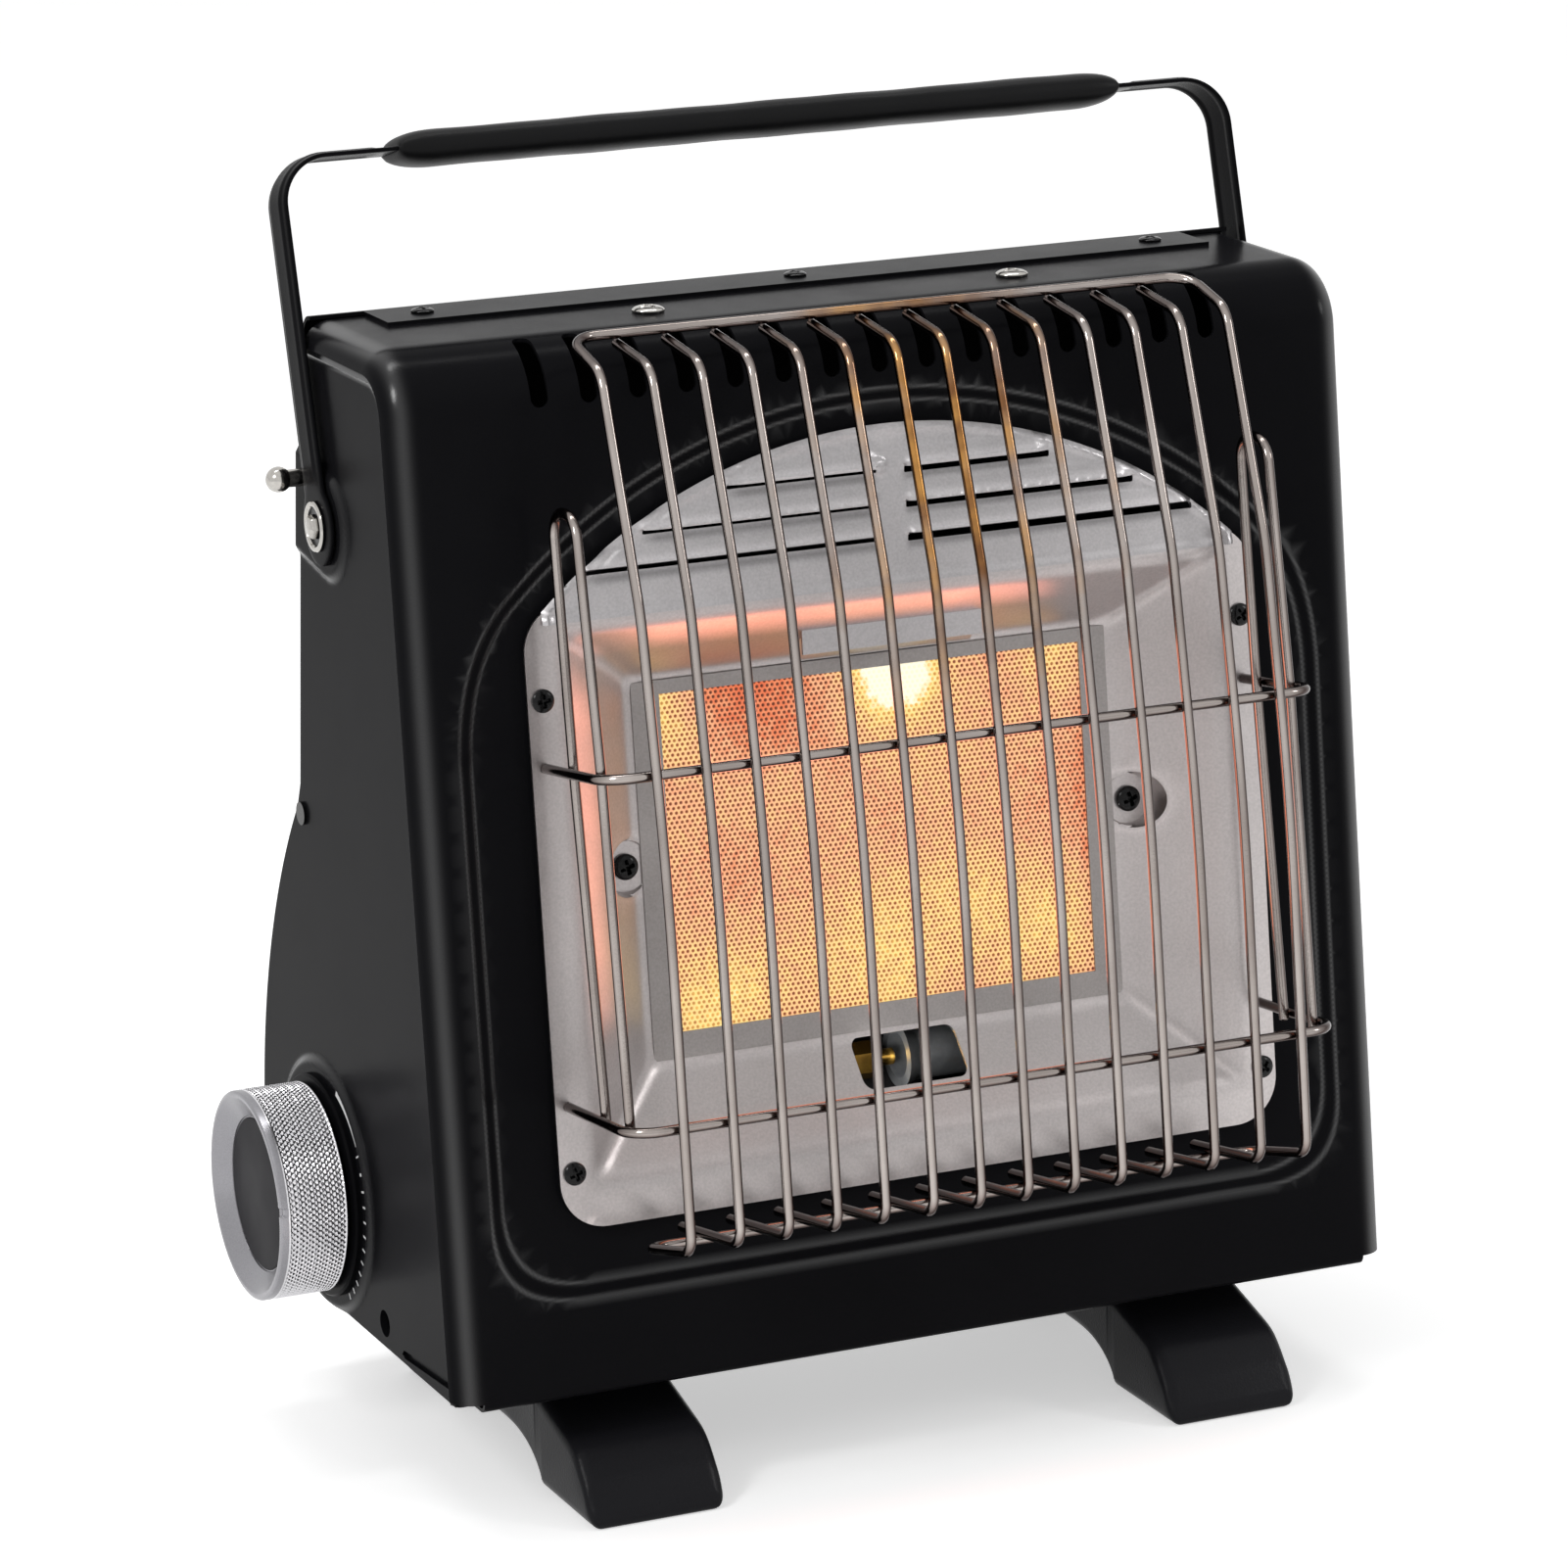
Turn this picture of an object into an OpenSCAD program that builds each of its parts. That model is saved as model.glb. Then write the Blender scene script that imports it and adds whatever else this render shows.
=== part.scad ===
// Portable propane heater: a sheet-steel cabinet with a leaning radiant front,
// a wire guard, a folding bail handle, a gas knob and a rear cartridge door.
// X runs to the right, Y to the back, Z up. The ground is z = 0.

/* [Cabinet] */
// Width over the side lips of the front casing
body_w = 260; // [240:1:300]
// Height of the cabinet's underside above the ground
body_z = 32.2; // [30:0.1:40]
// Height of the top panel above the ground
body_top = 291.5; // [285:0.5:305]
// Backward lean of the front face, in degrees
front_lean = 6.1; // [5:0.1:7]
// Lean of the rear face, in degrees
rear_lean = 6.2; // [5:0.1:7]
// Depth of the top panel's rear corner behind the foot of the front face
top_depth = 90; // [86:0.5:100]
// Thickness of the cabinet's sheet steel
sheet_t = 1; // [0.8:0.1:1.2]
// Radius of the bend between front face and top panel
brow_r = 17; // [14:0.5:20]
// Radius of the upright edges of the front casing
edge_r = 7; // [5:0.5:9]
// Overlap of the front casing's lips over the side panels
lip_lap = 0.8; // [0.6:0.1:2]
// Depth of the front casing's bottom lip
bottom_lip_d = 10; // [8:0.5:14]
// Width of the flanges that are folded on the side panels and the base plate
fold_w = 10; // [8:0.5:12]

/* [Top vents] */
// Number of vent slots along the brow
vent_n = 15; // [7:2:17]
// Distance between vent slots
vent_pitch = 12.9; // [11:0.1:14]
// Width of a vent slot
vent_w = 4.8; // [4:0.1:6]
// Height up the front face at which the vent slots begin
vent_s = 245.5; // [244:0.5:250]
// Distance that the vent slots reach back over the top
vent_reach = 39.5; // [36:0.5:42]

/* [Reflector] */
// Width of the reflector's flange
flange_w = 199; // [190:1:210]
// Lower edge of the flange, measured up the front face
flange_s0 = 42.7; // [40:0.1:48]
// Height of the cabinet's top above the flange's upper edge
flange_drop = 93.5; // [92:0.5:100]
// Corner radius of the flange
flange_r = 12; // [8:0.5:14]
// Sheet thickness of the reflector
pan_t = 0.8; // [0.6:0.1:1]
// Depth of the reflector's recess
pan_d = 17; // [14:0.5:20]
// Width of the flange beside the recess
rim_side = 9.5; // [9:0.5:12]
// Width of the flange under the recess
rim_low = 11.3; // [10:0.1:15]
// Width of the flange over the recess
rim_high = 7; // [6:0.5:9]
// Width that the side walls of the recess cover
wall_side = 24; // [22:0.5:25]
// Height that the lower wall of the recess covers
wall_low = 23; // [21:0.5:24]
// Height that the upper wall of the recess covers
wall_high = 16.5; // [15:0.5:18]
// Height of the arch plate's crown above the flange's upper edge
arch_h = 35; // [30:0.5:38]
// Width of the air window in the recess's lower wall
window_w = 29; // [20:1:36]

/* [Burner] */
// Width of the recess's floor beside the glowing face of the ceramic plaque
glow_side = 8; // [7:0.5:11]
// Height of the recess's floor under the glowing face
glow_low = 7.5; // [7:0.5:11]
// Height of the recess's floor over the glowing face
glow_high = 4.5; // [4:0.5:8]
// Thickness of the ceramic plaque
plaque_t = 12; // [10:0.5:14]
// Depth of the burner housing behind the reflector's floor
burner_d = 28; // [26:0.5:30]
// Radius of the mixing tube
tube_r = 7; // [6:0.1:7.5]
// Place of the nozzle's tip along X
nozzle_x = 8; // [0:0.5:12]
// Depth of the heat shield behind the front face
shield_d = 50; // [49:0.5:52]

/* [Guard] */
// Radius of the guard's wire
wire_r = 1.3; // [1:0.05:1.5]
// Number of upright wires
bar_n = 14; // [8:1:14]
// How far the guard's belly stands in front of the cabinet's foot
guard_reach = 40.2; // [36:0.2:46]
// Height of the guard's top rail
rail_z = 293.3; // [288:0.1:296]
// Height of the guard's lower bend
belly_z = 80.6; // [78:0.2:86]
// Distance of the hoops' sides inside the flange's edges
hoop_in = 3.5; // [3:0.1:5]
// Distance from the hoops' sides to the outermost upright wires
hoop_side = 12; // [8:0.5:20]
// Height of the upper hoop's front run
hoop_upper_z = 195; // [185:0.5:205]
// Height of the lower hoop's front run
hoop_lower_z = 110; // [106:0.5:116]

/* [Handle] */
// Width of the handle's steel strap
strap_w = 13; // [11:0.5:14]
// Thickness of the strap
strap_t = 1.4; // [1.2:0.1:1.8]
// Distance from the pivot to the top of the strap
strap_h = 91.3; // [88:0.5:95]
// Bend radius of the strap's corners
strap_r = 12; // [9:0.5:16]
// Backward lean of the handle at rest, in degrees
handle_lean = 15.5; // [14:0.5:17]
// Place of the pivot behind the cabinet's foot
pivot_y = 74.5; // [72:0.5:76]
// Height of the pivot
pivot_z = 242; // [240:0.5:246]
// Length of the grip sleeve with its full section
grip_l = 179; // [150:1:184]
// Length of each tapered end of the grip sleeve
grip_taper = 10.5; // [8:0.5:14]
// Depth of the grip sleeve, across the strap
grip_w = 16; // [15:0.5:18]
// Thickness of the grip sleeve
grip_t = 9; // [7:0.5:10]

/* [Knob] */
// Radius of the knob
knob_r = 27.1; // [25:0.1:28]
// Length of the knob
knob_l = 18.2; // [16:0.2:22]
// Radius of the dark disc in the knob's face
cap_r = 19.9; // [17:0.1:21]
// Place of the knob's axis behind the cabinet's foot
knob_y = 93; // [91:0.5:94]
// Height of the knob's axis
knob_z = 65.5; // [65:0.5:69]
// Radius of the valve's stem
stem_r = 3; // [2.5:0.1:3.5]

/* [Cartridge bay] */
// Radius of the gas cartridge
can_r = 34; // [33:0.1:34.5]
// Length of the gas cartridge's body
can_l = 175; // [165:1:178]
// Depth of the cartridge door's rearmost line
door_y = 142; // [141:0.5:146]
// Radius of the cartridge door's back
door_r = 161; // [155:1:170]
// Height of the door's rearmost line
door_z = 63; // [60:0.5:64]
// Thickness of the door's shell
door_t = 1.5; // [1.2:0.1:2]
// Height of the door's hinge
hinge_z = 162; // [158:0.5:164]
// Outer radius of the door's hinge roll
hinge_r = 5.5; // [5:0.1:6]

/* [Feet] */
// Width of a foot
foot_w = 36.5; // [32:0.5:42]
// Distance of a foot's middle from the cabinet's middle
foot_x = 80.7; // [70:0.5:90]
// How far a foot stands out in front of the cabinet
foot_front = 8; // [6:0.5:10]
// Length of a foot
foot_l = 130; // [120:1:134]
// Length of a foot's pad on the ground
pad_l = 33; // [28:0.5:36]
// Height of the arch under a foot
foot_arch = 10; // [8:0.5:12]

/* [Fits] */
// Gap between parts that lie beside each other
seam = 0.2; // [0.15:0.05:0.3]
// Gap between parts that move past each other
clear = 0.3; // [0.25:0.05:0.4]
// Radial gap of a hinge pin or a turning shaft
run_fit = 0.06; // [0.03:0.01:0.1]

/* [Hidden] */
$fn = 64;
// Steps in a round stretch of an outline, and in a bend of a wire
arc_n = 10;
bend_n = 4;
wire_sides = 8;
// A cut reaches this far past the surface that it opens
over = 1;

// ---- cabinet ----
half_w = body_w / 2;
panel_x = half_w - sheet_t - clear;
panel_in = panel_x - sheet_t;
// The side panels start behind the round edges of the front casing
panel_d = edge_r + seam
    - sqrt(pow(edge_r - sheet_t, 2) - pow(edge_r - sheet_t - clear, 2));
lip_d = panel_d + lip_lap;
brow_z = body_top - brow_r;
brow_y = (brow_z - body_z) * tan(front_lean) + brow_r / cos(front_lean);
cover_top = body_top + sheet_t;
rear_r = 5;
rear_arc_z = cover_top - rear_r;
rear_arc_y = top_depth - rear_r * (1 - sin(rear_lean)) / cos(rear_lean);
casing_rear = rear_arc_y - 1;
top_lip_rear = pivot_y + 4.5;
cover_end_z = hinge_z + hinge_r + 2;

// ---- door ----
bulge_y = door_y - door_r;
heel_r = door_z - body_z;
heel_y = door_y - heel_r;
hinge_y = bulge_y + sqrt(pow(door_r - hinge_r, 2) - pow(hinge_z - door_z, 2));
hinge_a = atan2(hinge_z - door_z, hinge_y - bulge_y);
hinge_wrap = 95;
hinge_pin_r = 2;
ear_t = 1.5;
door_end_y = heel_y - 10;
door_half = panel_in - clear;

// ---- front opening ----
flange_s1 = body_top - flange_drop;
mouth_w = flange_w - 2 * rim_side;
mouth_s0 = flange_s0 + rim_low;
mouth_s1 = flange_s1 - rim_high;
floor_w = mouth_w - 2 * wall_side;
floor_s0 = mouth_s0 + wall_low;
floor_s1 = mouth_s1 - wall_high;
front_gap = 5;
arch_r = (pow(flange_w / 2 - 7, 2) + arch_h * arch_h) / (2 * arch_h);
arch_s = flange_s1 + arch_h - arch_r;
arch_base = 5;
louvre_w = 3.2;
louvre_rows = [[flange_s1 + 24.3, flange_w / 2 - 55.5], [flange_s1 + 15.6, flange_w / 2 - 32.5],
    [flange_s1 + 7.2, flange_w / 2 - 16.5]];
louvre_in = 4;

// ---- burner, measured as depth behind the front face and height up it ----
glow_w = floor_w - 2 * glow_side;
glow_s0 = floor_s0 + glow_low;
glow_s1 = floor_s1 - glow_high;
frame_t = 0.6;
frame_rim = 7.5;
plaque_w = glow_w + 4;
plaque_s0 = glow_s0 - 2;
plaque_s1 = glow_s1 + 2;
plaque_d = pan_d + 0.1;
floor_back = pan_d + pan_t;
burner_d0 = floor_back + 0.1;
burner_half = floor_w / 2 + 0.5;
burner_s0 = floor_s0 + 0.5;
burner_s1 = floor_s1 + 2.5;
burner_screw_x = floor_w / 2 + 3.9;
wing_x = burner_screw_x + 6.1;
burner_screw_s = (floor_s0 + floor_s1) / 2 + 2.25;
dimple_r = 7;
tube_d = burner_d0 + 18;
tube_s = burner_s0 - 11.5;
tube_wall = 1;
riser_x = nozzle_x + 44;
riser_r = tube_r - 0.8;
mouth_x = nozzle_x + 1.5;
insulator_x = 4;
insulator_s = burner_s1 + 4;
insulator_r = 2.5;
insulator_d = pan_d - 4.4;
electrode_r = 0.8;
shield_t = 0.8;
shield_half = panel_in - seam;
// The shield clears the folds of the base plate
shield_s0 = (sheet_t + fold_w + seam + (shield_d + shield_t) * sin(front_lean)) / cos(front_lean);
shield_s1 = 205;
baffle_z = body_top - 29.5;
baffle_screw_x = 50;
baffle_screw_y = 54.5;

// ---- gas train ----
can_y = 101;
can_z = 83;
can_x1 = can_l / 2 + 13.5;
can_x0 = can_x1 - can_l;
neck_l = 10;
collar_r = 17;
collar_t = 2;
tip_r = 5;
socket_end = can_x0 - neck_l - collar_t - 0.5;
socket_l = 8;
socket_x = socket_end - socket_l;
valve_x = -panel_in + 2.5;
valve_r = 14;
valve_l = 30;
drum_r = 19;
drum_y = 98;
drum_z = 84;
outlet_x = -105;
pipe_r = 2.5;
piezo_y = 71;
piezo_z = 93;
piezo_r = 7;
piezo_l = 38;

// ---- knob ----
pad_h = 1.3;
pad_r = 32.4;
bezel_r = 29;
bezel_t = 2;
knob_back = half_w + bezel_t + 0.8;
knob_face = knob_back + knob_l;
cap_recess = 3.6;
cap_t = 1.4;

// ---- guard ----
rail_y = 23.5;
knee = [3.5, rail_z - 5];
bow_turns = [[-17.5, 233], [-30.5, 170]];
hoop_w = flange_w - 2 * hoop_in;
guard_w = hoop_w - 2 * hoop_side;
bar_pitch = guard_w / (bar_n - 1);
wire_gap = 0.05;
leg_tip = [-4, 74.2];
bottom_bar_y = -11;
leg_rise = (belly_z - leg_tip[1]) / (guard_reach + leg_tip[0]);
leg_at_bar = leg_tip[1] + (leg_tip[0] - bottom_bar_y) * leg_rise;
bottom_bar_z = leg_at_bar - (2 * wire_r + wire_gap) / cos(atan(leg_rise));
// Distance in front of the face and height of each turn of a side loop: up its rear leg,
// over its crown and down its front leg
loop_turns = [[18.7, hoop_lower_z - 3.5], [12.6, hoop_upper_z - 3], [9.9, hoop_upper_z + 59.5],
    [24.6, hoop_upper_z + 59.5], [30.4, hoop_upper_z], [34.3, hoop_lower_z - 2]];
// The hoops run close behind the upright wires, and end short of the flange
weld_gap = 0.4;
function bow_y(z) = let(b = z > bow_turns[1][1] ? bow_turns[1] : [-guard_reach, belly_z],
    a = z > bow_turns[1][1] ? bow_turns[0] : bow_turns[1])
    a[0] + (b[0] - a[0]) * (a[1] - z) / (a[1] - b[1]);

// ---- handle ----
strap_in = half_w + clear;
strap_out = strap_in + strap_t;
lug_r = 10;
pivot_r = 2.5;
pivot_head_r = 6.5;
pivot_head_t = 2;
boss_r = 12.5;
stop_r = 2.25;
ball_r = 3.25;
stop_len = ball_r + 4.8;
stop_y = pivot_y + 12.5;
stop_z = pivot_z + 10;
ball_x = panel_x + stop_len;

// ---- the frame's origin is under the middle of the whole heater's box ----
x_low = -knob_face;
x_high = ball_x + ball_r;
y_low = -guard_reach - wire_r;
y_high = door_y;
origin_x = (x_low + x_high) / 2;
origin_y = (y_low + y_high) / 2;

// ---- functions ----
function unit(v) = v / norm(v);
function turn(u, v) = acos(max(-1, min(1, u * v)));
// Points on an arc about c, from angle a0 to a1
function arc(c, r, a0, a1, n = arc_n) =
    [for (i = [0:n]) c + r * [cos(a0 + (a1 - a0) * i / n), sin(a0 + (a1 - a0) * i / n)]];
// Outline of a rectangle with round corners
function round_rect(x0, y0, x1, y1, r, n = 6) = concat(
    arc([x1 - r, y0 + r], r, -90, 0, n), arc([x1 - r, y1 - r], r, 0, 90, n),
    arc([x0 + r, y1 - r], r, 90, 180, n), arc([x0 + r, y0 + r], r, 180, 270, n));
// A point from its place across the face, its depth behind it and its height up it
function face_point(x, d, s) = [x, d * cos(front_lean) + s * sin(front_lean),
    body_z + s * cos(front_lean) - d * sin(front_lean)];
// Depth and height on the face of a point of the cabinet
function face_depth(p) = p[1] * cos(front_lean) - (p[2] - body_z) * sin(front_lean);
function face_height(p) = p[1] * sin(front_lean) + (p[2] - body_z) * cos(front_lean);
// Line of the front face and of the rear face, set inwards by e
function front_y(z, e) = (z - body_z) * tan(front_lean) + e / cos(front_lean);
function rear_y(z, e) = top_depth + (cover_top - z) * tan(rear_lean) - e / cos(rear_lean);

// Places where a wire's bend at corner i begins and ends, and the points between
function bend_cut(p, i, r) = r * tan(turn(unit(p[i] - p[i - 1]), unit(p[i + 1] - p[i])) / 2);
function bend_points(p, i, r) = let(
    u = unit(p[i] - p[i - 1]), v = unit(p[i + 1] - p[i]), t = turn(u, v),
    s = p[i] - u * bend_cut(p, i, r), c = p[i] + unit(v - u) * r / cos(t / 2), e = (s - c) / r)
    [for (k = [0:bend_n]) c + r * (e * cos(t * k / bend_n) + u * sin(t * k / bend_n))];
function route(p, r) = let(last = len(p) - 1)
    concat([p[0]], [for (i = [1:last - 1]) each bend_points(p, i, r[i - 1])], [p[last]]);
// Direction of a route at point i, and a normal that turns as little as possible
function heading(q, i) = unit(q[min(i + 1, len(q) - 1)] - q[max(i - 1, 0)]);
function square_to(n, t) = unit(n - t * (n * t));
function any_normal(t) = square_to(abs(t[0]) < 0.9 ? [1, 0, 0] : [0, 1, 0], t);
function normals(q, i = 0, n = [0, 0, 0]) = i >= len(q) ? [] :
    let(m = i == 0 ? any_normal(heading(q, 0)) : square_to(n, heading(q, i)))
    concat([m], normals(q, i + 1, m));

// ---- helpers ----
module placed() { translate([-origin_x, -origin_y, 0]) children(); }
// Turns a flat outline drawn in Y and Z into a solid across X
module across(w) { rotate([90, 0, 90]) linear_extrude(w, center = true) children(); }
module across_from(x, w) { translate([x, 0, 0]) rotate([90, 0, 90]) linear_extrude(w) children(); }
// Children drawn as X, depth behind the front face and height up the face
module on_face() { translate([0, 0, body_z]) rotate([-front_lean, 0, 0]) children(); }
// Children drawn flat in X and height up the face, made t thick from depth d
module face_plate(d, t) {
    on_face() translate([0, d + t, 0]) rotate([90, 0, 0]) linear_extrude(t) children();
}
// A rod along +X, along depth into the face, and along +Z
module rod_x(x, y, z, r, l) { translate([x, y, z]) rotate([0, 90, 0]) cylinder(h = l, r = r); }
module rod_face(x, d, s, r, l) {
    on_face() translate([x, d, s]) rotate([-90, 0, 0]) cylinder(h = l, r = r);
}
module rod_z(x, y, z, r, l) { translate([x, y, z]) cylinder(h = l, r = r); }
module both_sides() { children(); mirror([1, 0, 0]) children(); }
// A wire with round bends, swept as one closed surface along its route
module wire(p, bends, r) {
    q = route(p, bends);
    n = normals(q);
    rings = [for (i = [0:len(q) - 1]) let(t = heading(q, i), b = cross(t, n[i]))
        for (k = [0:wire_sides - 1]) let(a = 360 * k / wire_sides)
        q[i] + r * (n[i] * cos(a) + b * sin(a))];
    last = len(q) - 1;
    skin = [for (i = [0:last - 1], k = [0:wire_sides - 1]) let(m = (k + 1) % wire_sides)
        [i * wire_sides + k, (i + 1) * wire_sides + k, (i + 1) * wire_sides + m,
            i * wire_sides + m]];
    ends = [[for (k = [0:wire_sides - 1]) k],
        [for (k = [wire_sides - 1:-1:0]) last * wire_sides + k]];
    polyhedron(points = rings, faces = concat(skin, ends));
}
// A pan-head screw that points along +Z, with its head above z = 0
module screw(head_r, head_h, shank_r, l) {
    translate([0, 0, -l]) cylinder(h = l, r = shank_r);
    difference() {
        cylinder(h = head_h, r1 = head_r, r2 = head_r * 0.8);
        for (a = [0, 90]) rotate([0, 0, a]) translate([0, 0, head_h])
            cube([head_r * 1.1, head_r * 0.22, head_h], center = true);
    }
}

// ---- cabinet ----
// Side outline of the casing's outer or inner surface, set inwards by e
function casing_outline(e, rear) = concat([[front_y(body_z + e, e), body_z + e]],
    arc([brow_y, brow_z], brow_r - e, 180 - front_lean, 90),
    [[rear, body_top - e], [rear, body_z + e]]);
module casing_block(e, rear) {
    intersection() {
        across(body_w - 2 * e) polygon(casing_outline(e, rear));
        on_face() translate([0, 0, -body_z]) linear_extrude(2 * body_top)
            polygon(concat(arc([half_w - edge_r, edge_r], edge_r - e, -90, 0, 6),
                [[half_w - e, 2 * top_depth], [e - half_w, 2 * top_depth]],
                arc([edge_r - half_w, edge_r], edge_r - e, 180, 270, 6)));
    }
}
module arch_outline(e) {
    intersection() {
        translate([0, arch_s]) circle(r = arch_r - e, $fn = 128);
        translate([e - flange_w / 2 + 5, flange_s1 - arch_base])
            square([flange_w - 2 * e - 10, 2 * arch_h]);
    }
}
module vent_slot() {
    r = vent_w / 2;
    translate([0, vent_reach - r, brow_z - brow_r]) {
        cylinder(h = 3 * brow_r, r = r);
        translate([-r, -2 * brow_r, 0]) cube([vent_w, 2 * brow_r, 3 * brow_r]);
    }
}
module front_casing() {
    color("#1b1c1f") placed() difference() {
        intersection() {
            difference() {
                casing_block(0, casing_rear);
                casing_block(sheet_t, top_depth + rear_r);
            }
            union() {
                on_face() translate([-body_w, -over, -body_z])
                    cube([2 * body_w, over + lip_d, 2 * body_top]);
                translate([-body_w, 0, 0]) cube([2 * body_w, bottom_lip_d, body_z + sheet_t]);
                translate([-body_w, 0, body_top - lip_d])
                    cube([2 * body_w, top_lip_rear, 2 * lip_d]);
                translate([-panel_x, 0, body_top - sheet_t])
                    cube([2 * panel_x, top_depth, 2 * sheet_t]);
            }
        }
        face_plate(-over, sheet_t + 2 * over) {
            translate([front_gap + 2 - flange_w / 2, mouth_s0 - 2])
                square([flange_w - 2 * front_gap - 4, flange_s1 - mouth_s0]);
            arch_outline(front_gap);
        }
        for (i = [0:vent_n - 1]) translate([(i - (vent_n - 1) / 2) * vent_pitch, 0, 0])
            intersection() {
                vent_slot();
                on_face() translate([-vent_w, -over, vent_s]) cube([2 * vent_w, top_depth, brow_r * 2]);
            }
        flange_screw_places() rod_face(0, -over, 0, 1.5 + seam, sheet_t + 2 * over);
        for (x = [-1, 1]) rod_z(x * baffle_screw_x, baffle_screw_y, body_top - 2 * sheet_t,
            2 + seam, 3 * sheet_t);
        for (x = cover_screw_x) rod_z(x, cover_screw_y, body_top - 2 * sheet_t, 1.5 + seam,
            3 * sheet_t);
    }
}

// Side outline of a side panel, set inwards by f from the front face and the top, by e
// from the rear face and the bottom, and by b from the door
function panel_outline(f, e, b) = concat([[front_y(body_z + e, f), body_z + e]],
    arc([brow_y, brow_z], brow_r - f, 180 - front_lean, 90),
    [[rear_y(body_top - f, e), body_top - f], [rear_y(cover_end_z, e), cover_end_z]],
    arc([bulge_y, door_z], door_r - b, hinge_a - 0.6, 0),
    arc([heel_y, door_z], heel_r - b, 0, -90));
hole_y = 53.8;
hole_z = 39.9;
module side_panel(side, pad) {
    e = sheet_t + seam;
    placed() difference() {
        union() {
            across_from(side > 0 ? panel_in : -panel_x, sheet_t)
                polygon(panel_outline(panel_d, e, door_t + clear));
            intersection() {
                across(4 * panel_x)
                    polygon(panel_outline(panel_d + e, 2 * e, door_t + clear + e));
                union() {
                    rod_x(side > 0 ? panel_in : -panel_x - pad_h, pivot_y, pivot_z, boss_r,
                        sheet_t + pad_h);
                    if (pad) rod_x(-panel_x - pad_h, knob_y, knob_z, pad_r, sheet_t + pad_h);
                }
            }
            across_from(side > 0 ? panel_in - fold_w : -panel_in - over, fold_w + over)
                polygon([for (c = [[cover_end_z + 4, e], [rear_arc_z - 4, e],
                    [rear_arc_z - 4, e + sheet_t], [cover_end_z + 4, e + sheet_t]])
                    [rear_y(c[0], c[1]), c[0]]]);
        }
        rod_x(-2 * half_w, pivot_y, pivot_z, pivot_r + run_fit, 4 * half_w);
        rod_x(-2 * half_w, stop_y, stop_z, stop_r + seam / 2, 4 * half_w);
        rod_x(-2 * half_w, hole_y, hole_z, 3.5, 4 * half_w);
        rod_x(-2 * half_w, hinge_y, hinge_z, hinge_pin_r + run_fit, 4 * half_w);
        if (pad) rod_x(-2 * half_w, knob_y, knob_z, stem_r + 3, 2 * half_w);
        rear_screw_places() translate([0, 0, -4]) cylinder(h = 8, r = 1.5 + seam);
    }
}
module left_side_panel() { color("#1b1c1f") side_panel(-1, true); }
module right_side_panel() { color("#1b1c1f") side_panel(1, false); }

// Upper rear cover: a flange over the top panel, a bend and the leaning rear wall
cover_flange_y = 68;
cover_full_y = 85;
cover_flange_half = 113.5;
cover_screw_x = [-101, 0, 101];
cover_screw_y = 77;
function cover_skin(e, front) = concat([[front, cover_top - e]],
    arc([rear_arc_y, rear_arc_z], rear_r - e, 90, rear_lean, 6),
    [[rear_y(cover_end_z, e), cover_end_z]]);
function flip(v) = [for (i = [len(v) - 1:-1:0]) v[i]];
module rear_screw_places() {
    for (x = [-1, 1], z = [cover_end_z + 16, pivot_z])
        translate([x * (panel_in - fold_w / 2), rear_y(z, 0), z]) rotate([rear_lean - 90, 0, 0])
            children();
}
module rear_cover() {
    color("#1b1c1f") placed() difference() {
        union() {
            across(2 * cover_flange_half)
                polygon(concat(cover_skin(0, cover_flange_y), flip(cover_skin(sheet_t, cover_flange_y))));
            across(2 * panel_x - 2)
                polygon(concat(cover_skin(0, cover_full_y), flip(cover_skin(sheet_t, cover_full_y))));
        }
        for (x = cover_screw_x) rod_z(x, cover_screw_y, body_top - over, 1.5 + seam, 2 * over + sheet_t);
        rear_screw_places() translate([0, 0, -2]) cylinder(h = 4, r = 1.5 + seam);
    }
}

base_rear = door_end_y - 1.5;
module base_plate() {
    z = body_z + sheet_t;
    y0 = front_y(z, edge_r) + clear;
    color("#1b1c1f") placed() difference() {
        union() {
            translate([-panel_in, y0, z]) cube([2 * panel_in, base_rear - y0, sheet_t]);
            for (x = [-panel_in, panel_in - sheet_t])
                translate([x, y0 + 4, z]) cube([sheet_t, base_rear - y0 - 4, fold_w]);
        }
        foot_screw_places() rod_z(0, 0, z - over, 2 + seam, sheet_t + 2 * over);
        rod_x(-2 * half_w, hole_y, hole_z, 3.5, 4 * half_w);
    }
}

// ---- cartridge door ----
function door_skin(e) = concat(
    arc([hinge_y, hinge_z], hinge_r - e, hinge_a + hinge_wrap, hinge_a),
    arc([bulge_y, door_z], door_r - e, hinge_a, 0, 16),
    arc([heel_y, door_z], heel_r - e, 0, -90),
    [[door_end_y, body_z + e]]);
module cartridge_door() {
    color("#1b1c1f") placed() difference() {
        union() {
            across(2 * door_half) polygon(concat(door_skin(0), flip(door_skin(door_t))));
            for (x = [-door_half, door_half - ear_t])
                rod_x(x, hinge_y, hinge_z, hinge_r - door_t / 2, ear_t);
        }
        rod_x(-half_w, hinge_y, hinge_z, hinge_pin_r + run_fit, 2 * half_w);
    }
}
module door_hinge_pins() {
    color("silver") placed() both_sides() {
        rod_x(door_half - ear_t - 1, hinge_y, hinge_z, hinge_pin_r, panel_x - door_half + ear_t + 1);
        rod_x(panel_x, hinge_y, hinge_z, hinge_pin_r + 1, 0.8);
    }
}
// Spring leaf on the base plate that holds the door's lower edge down
module door_catch() {
    z = body_z + 2 * sheet_t;
    color("silver") placed() translate([-12, base_rear - 14, z]) cube([24, 20, 0.8]);
}

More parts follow.
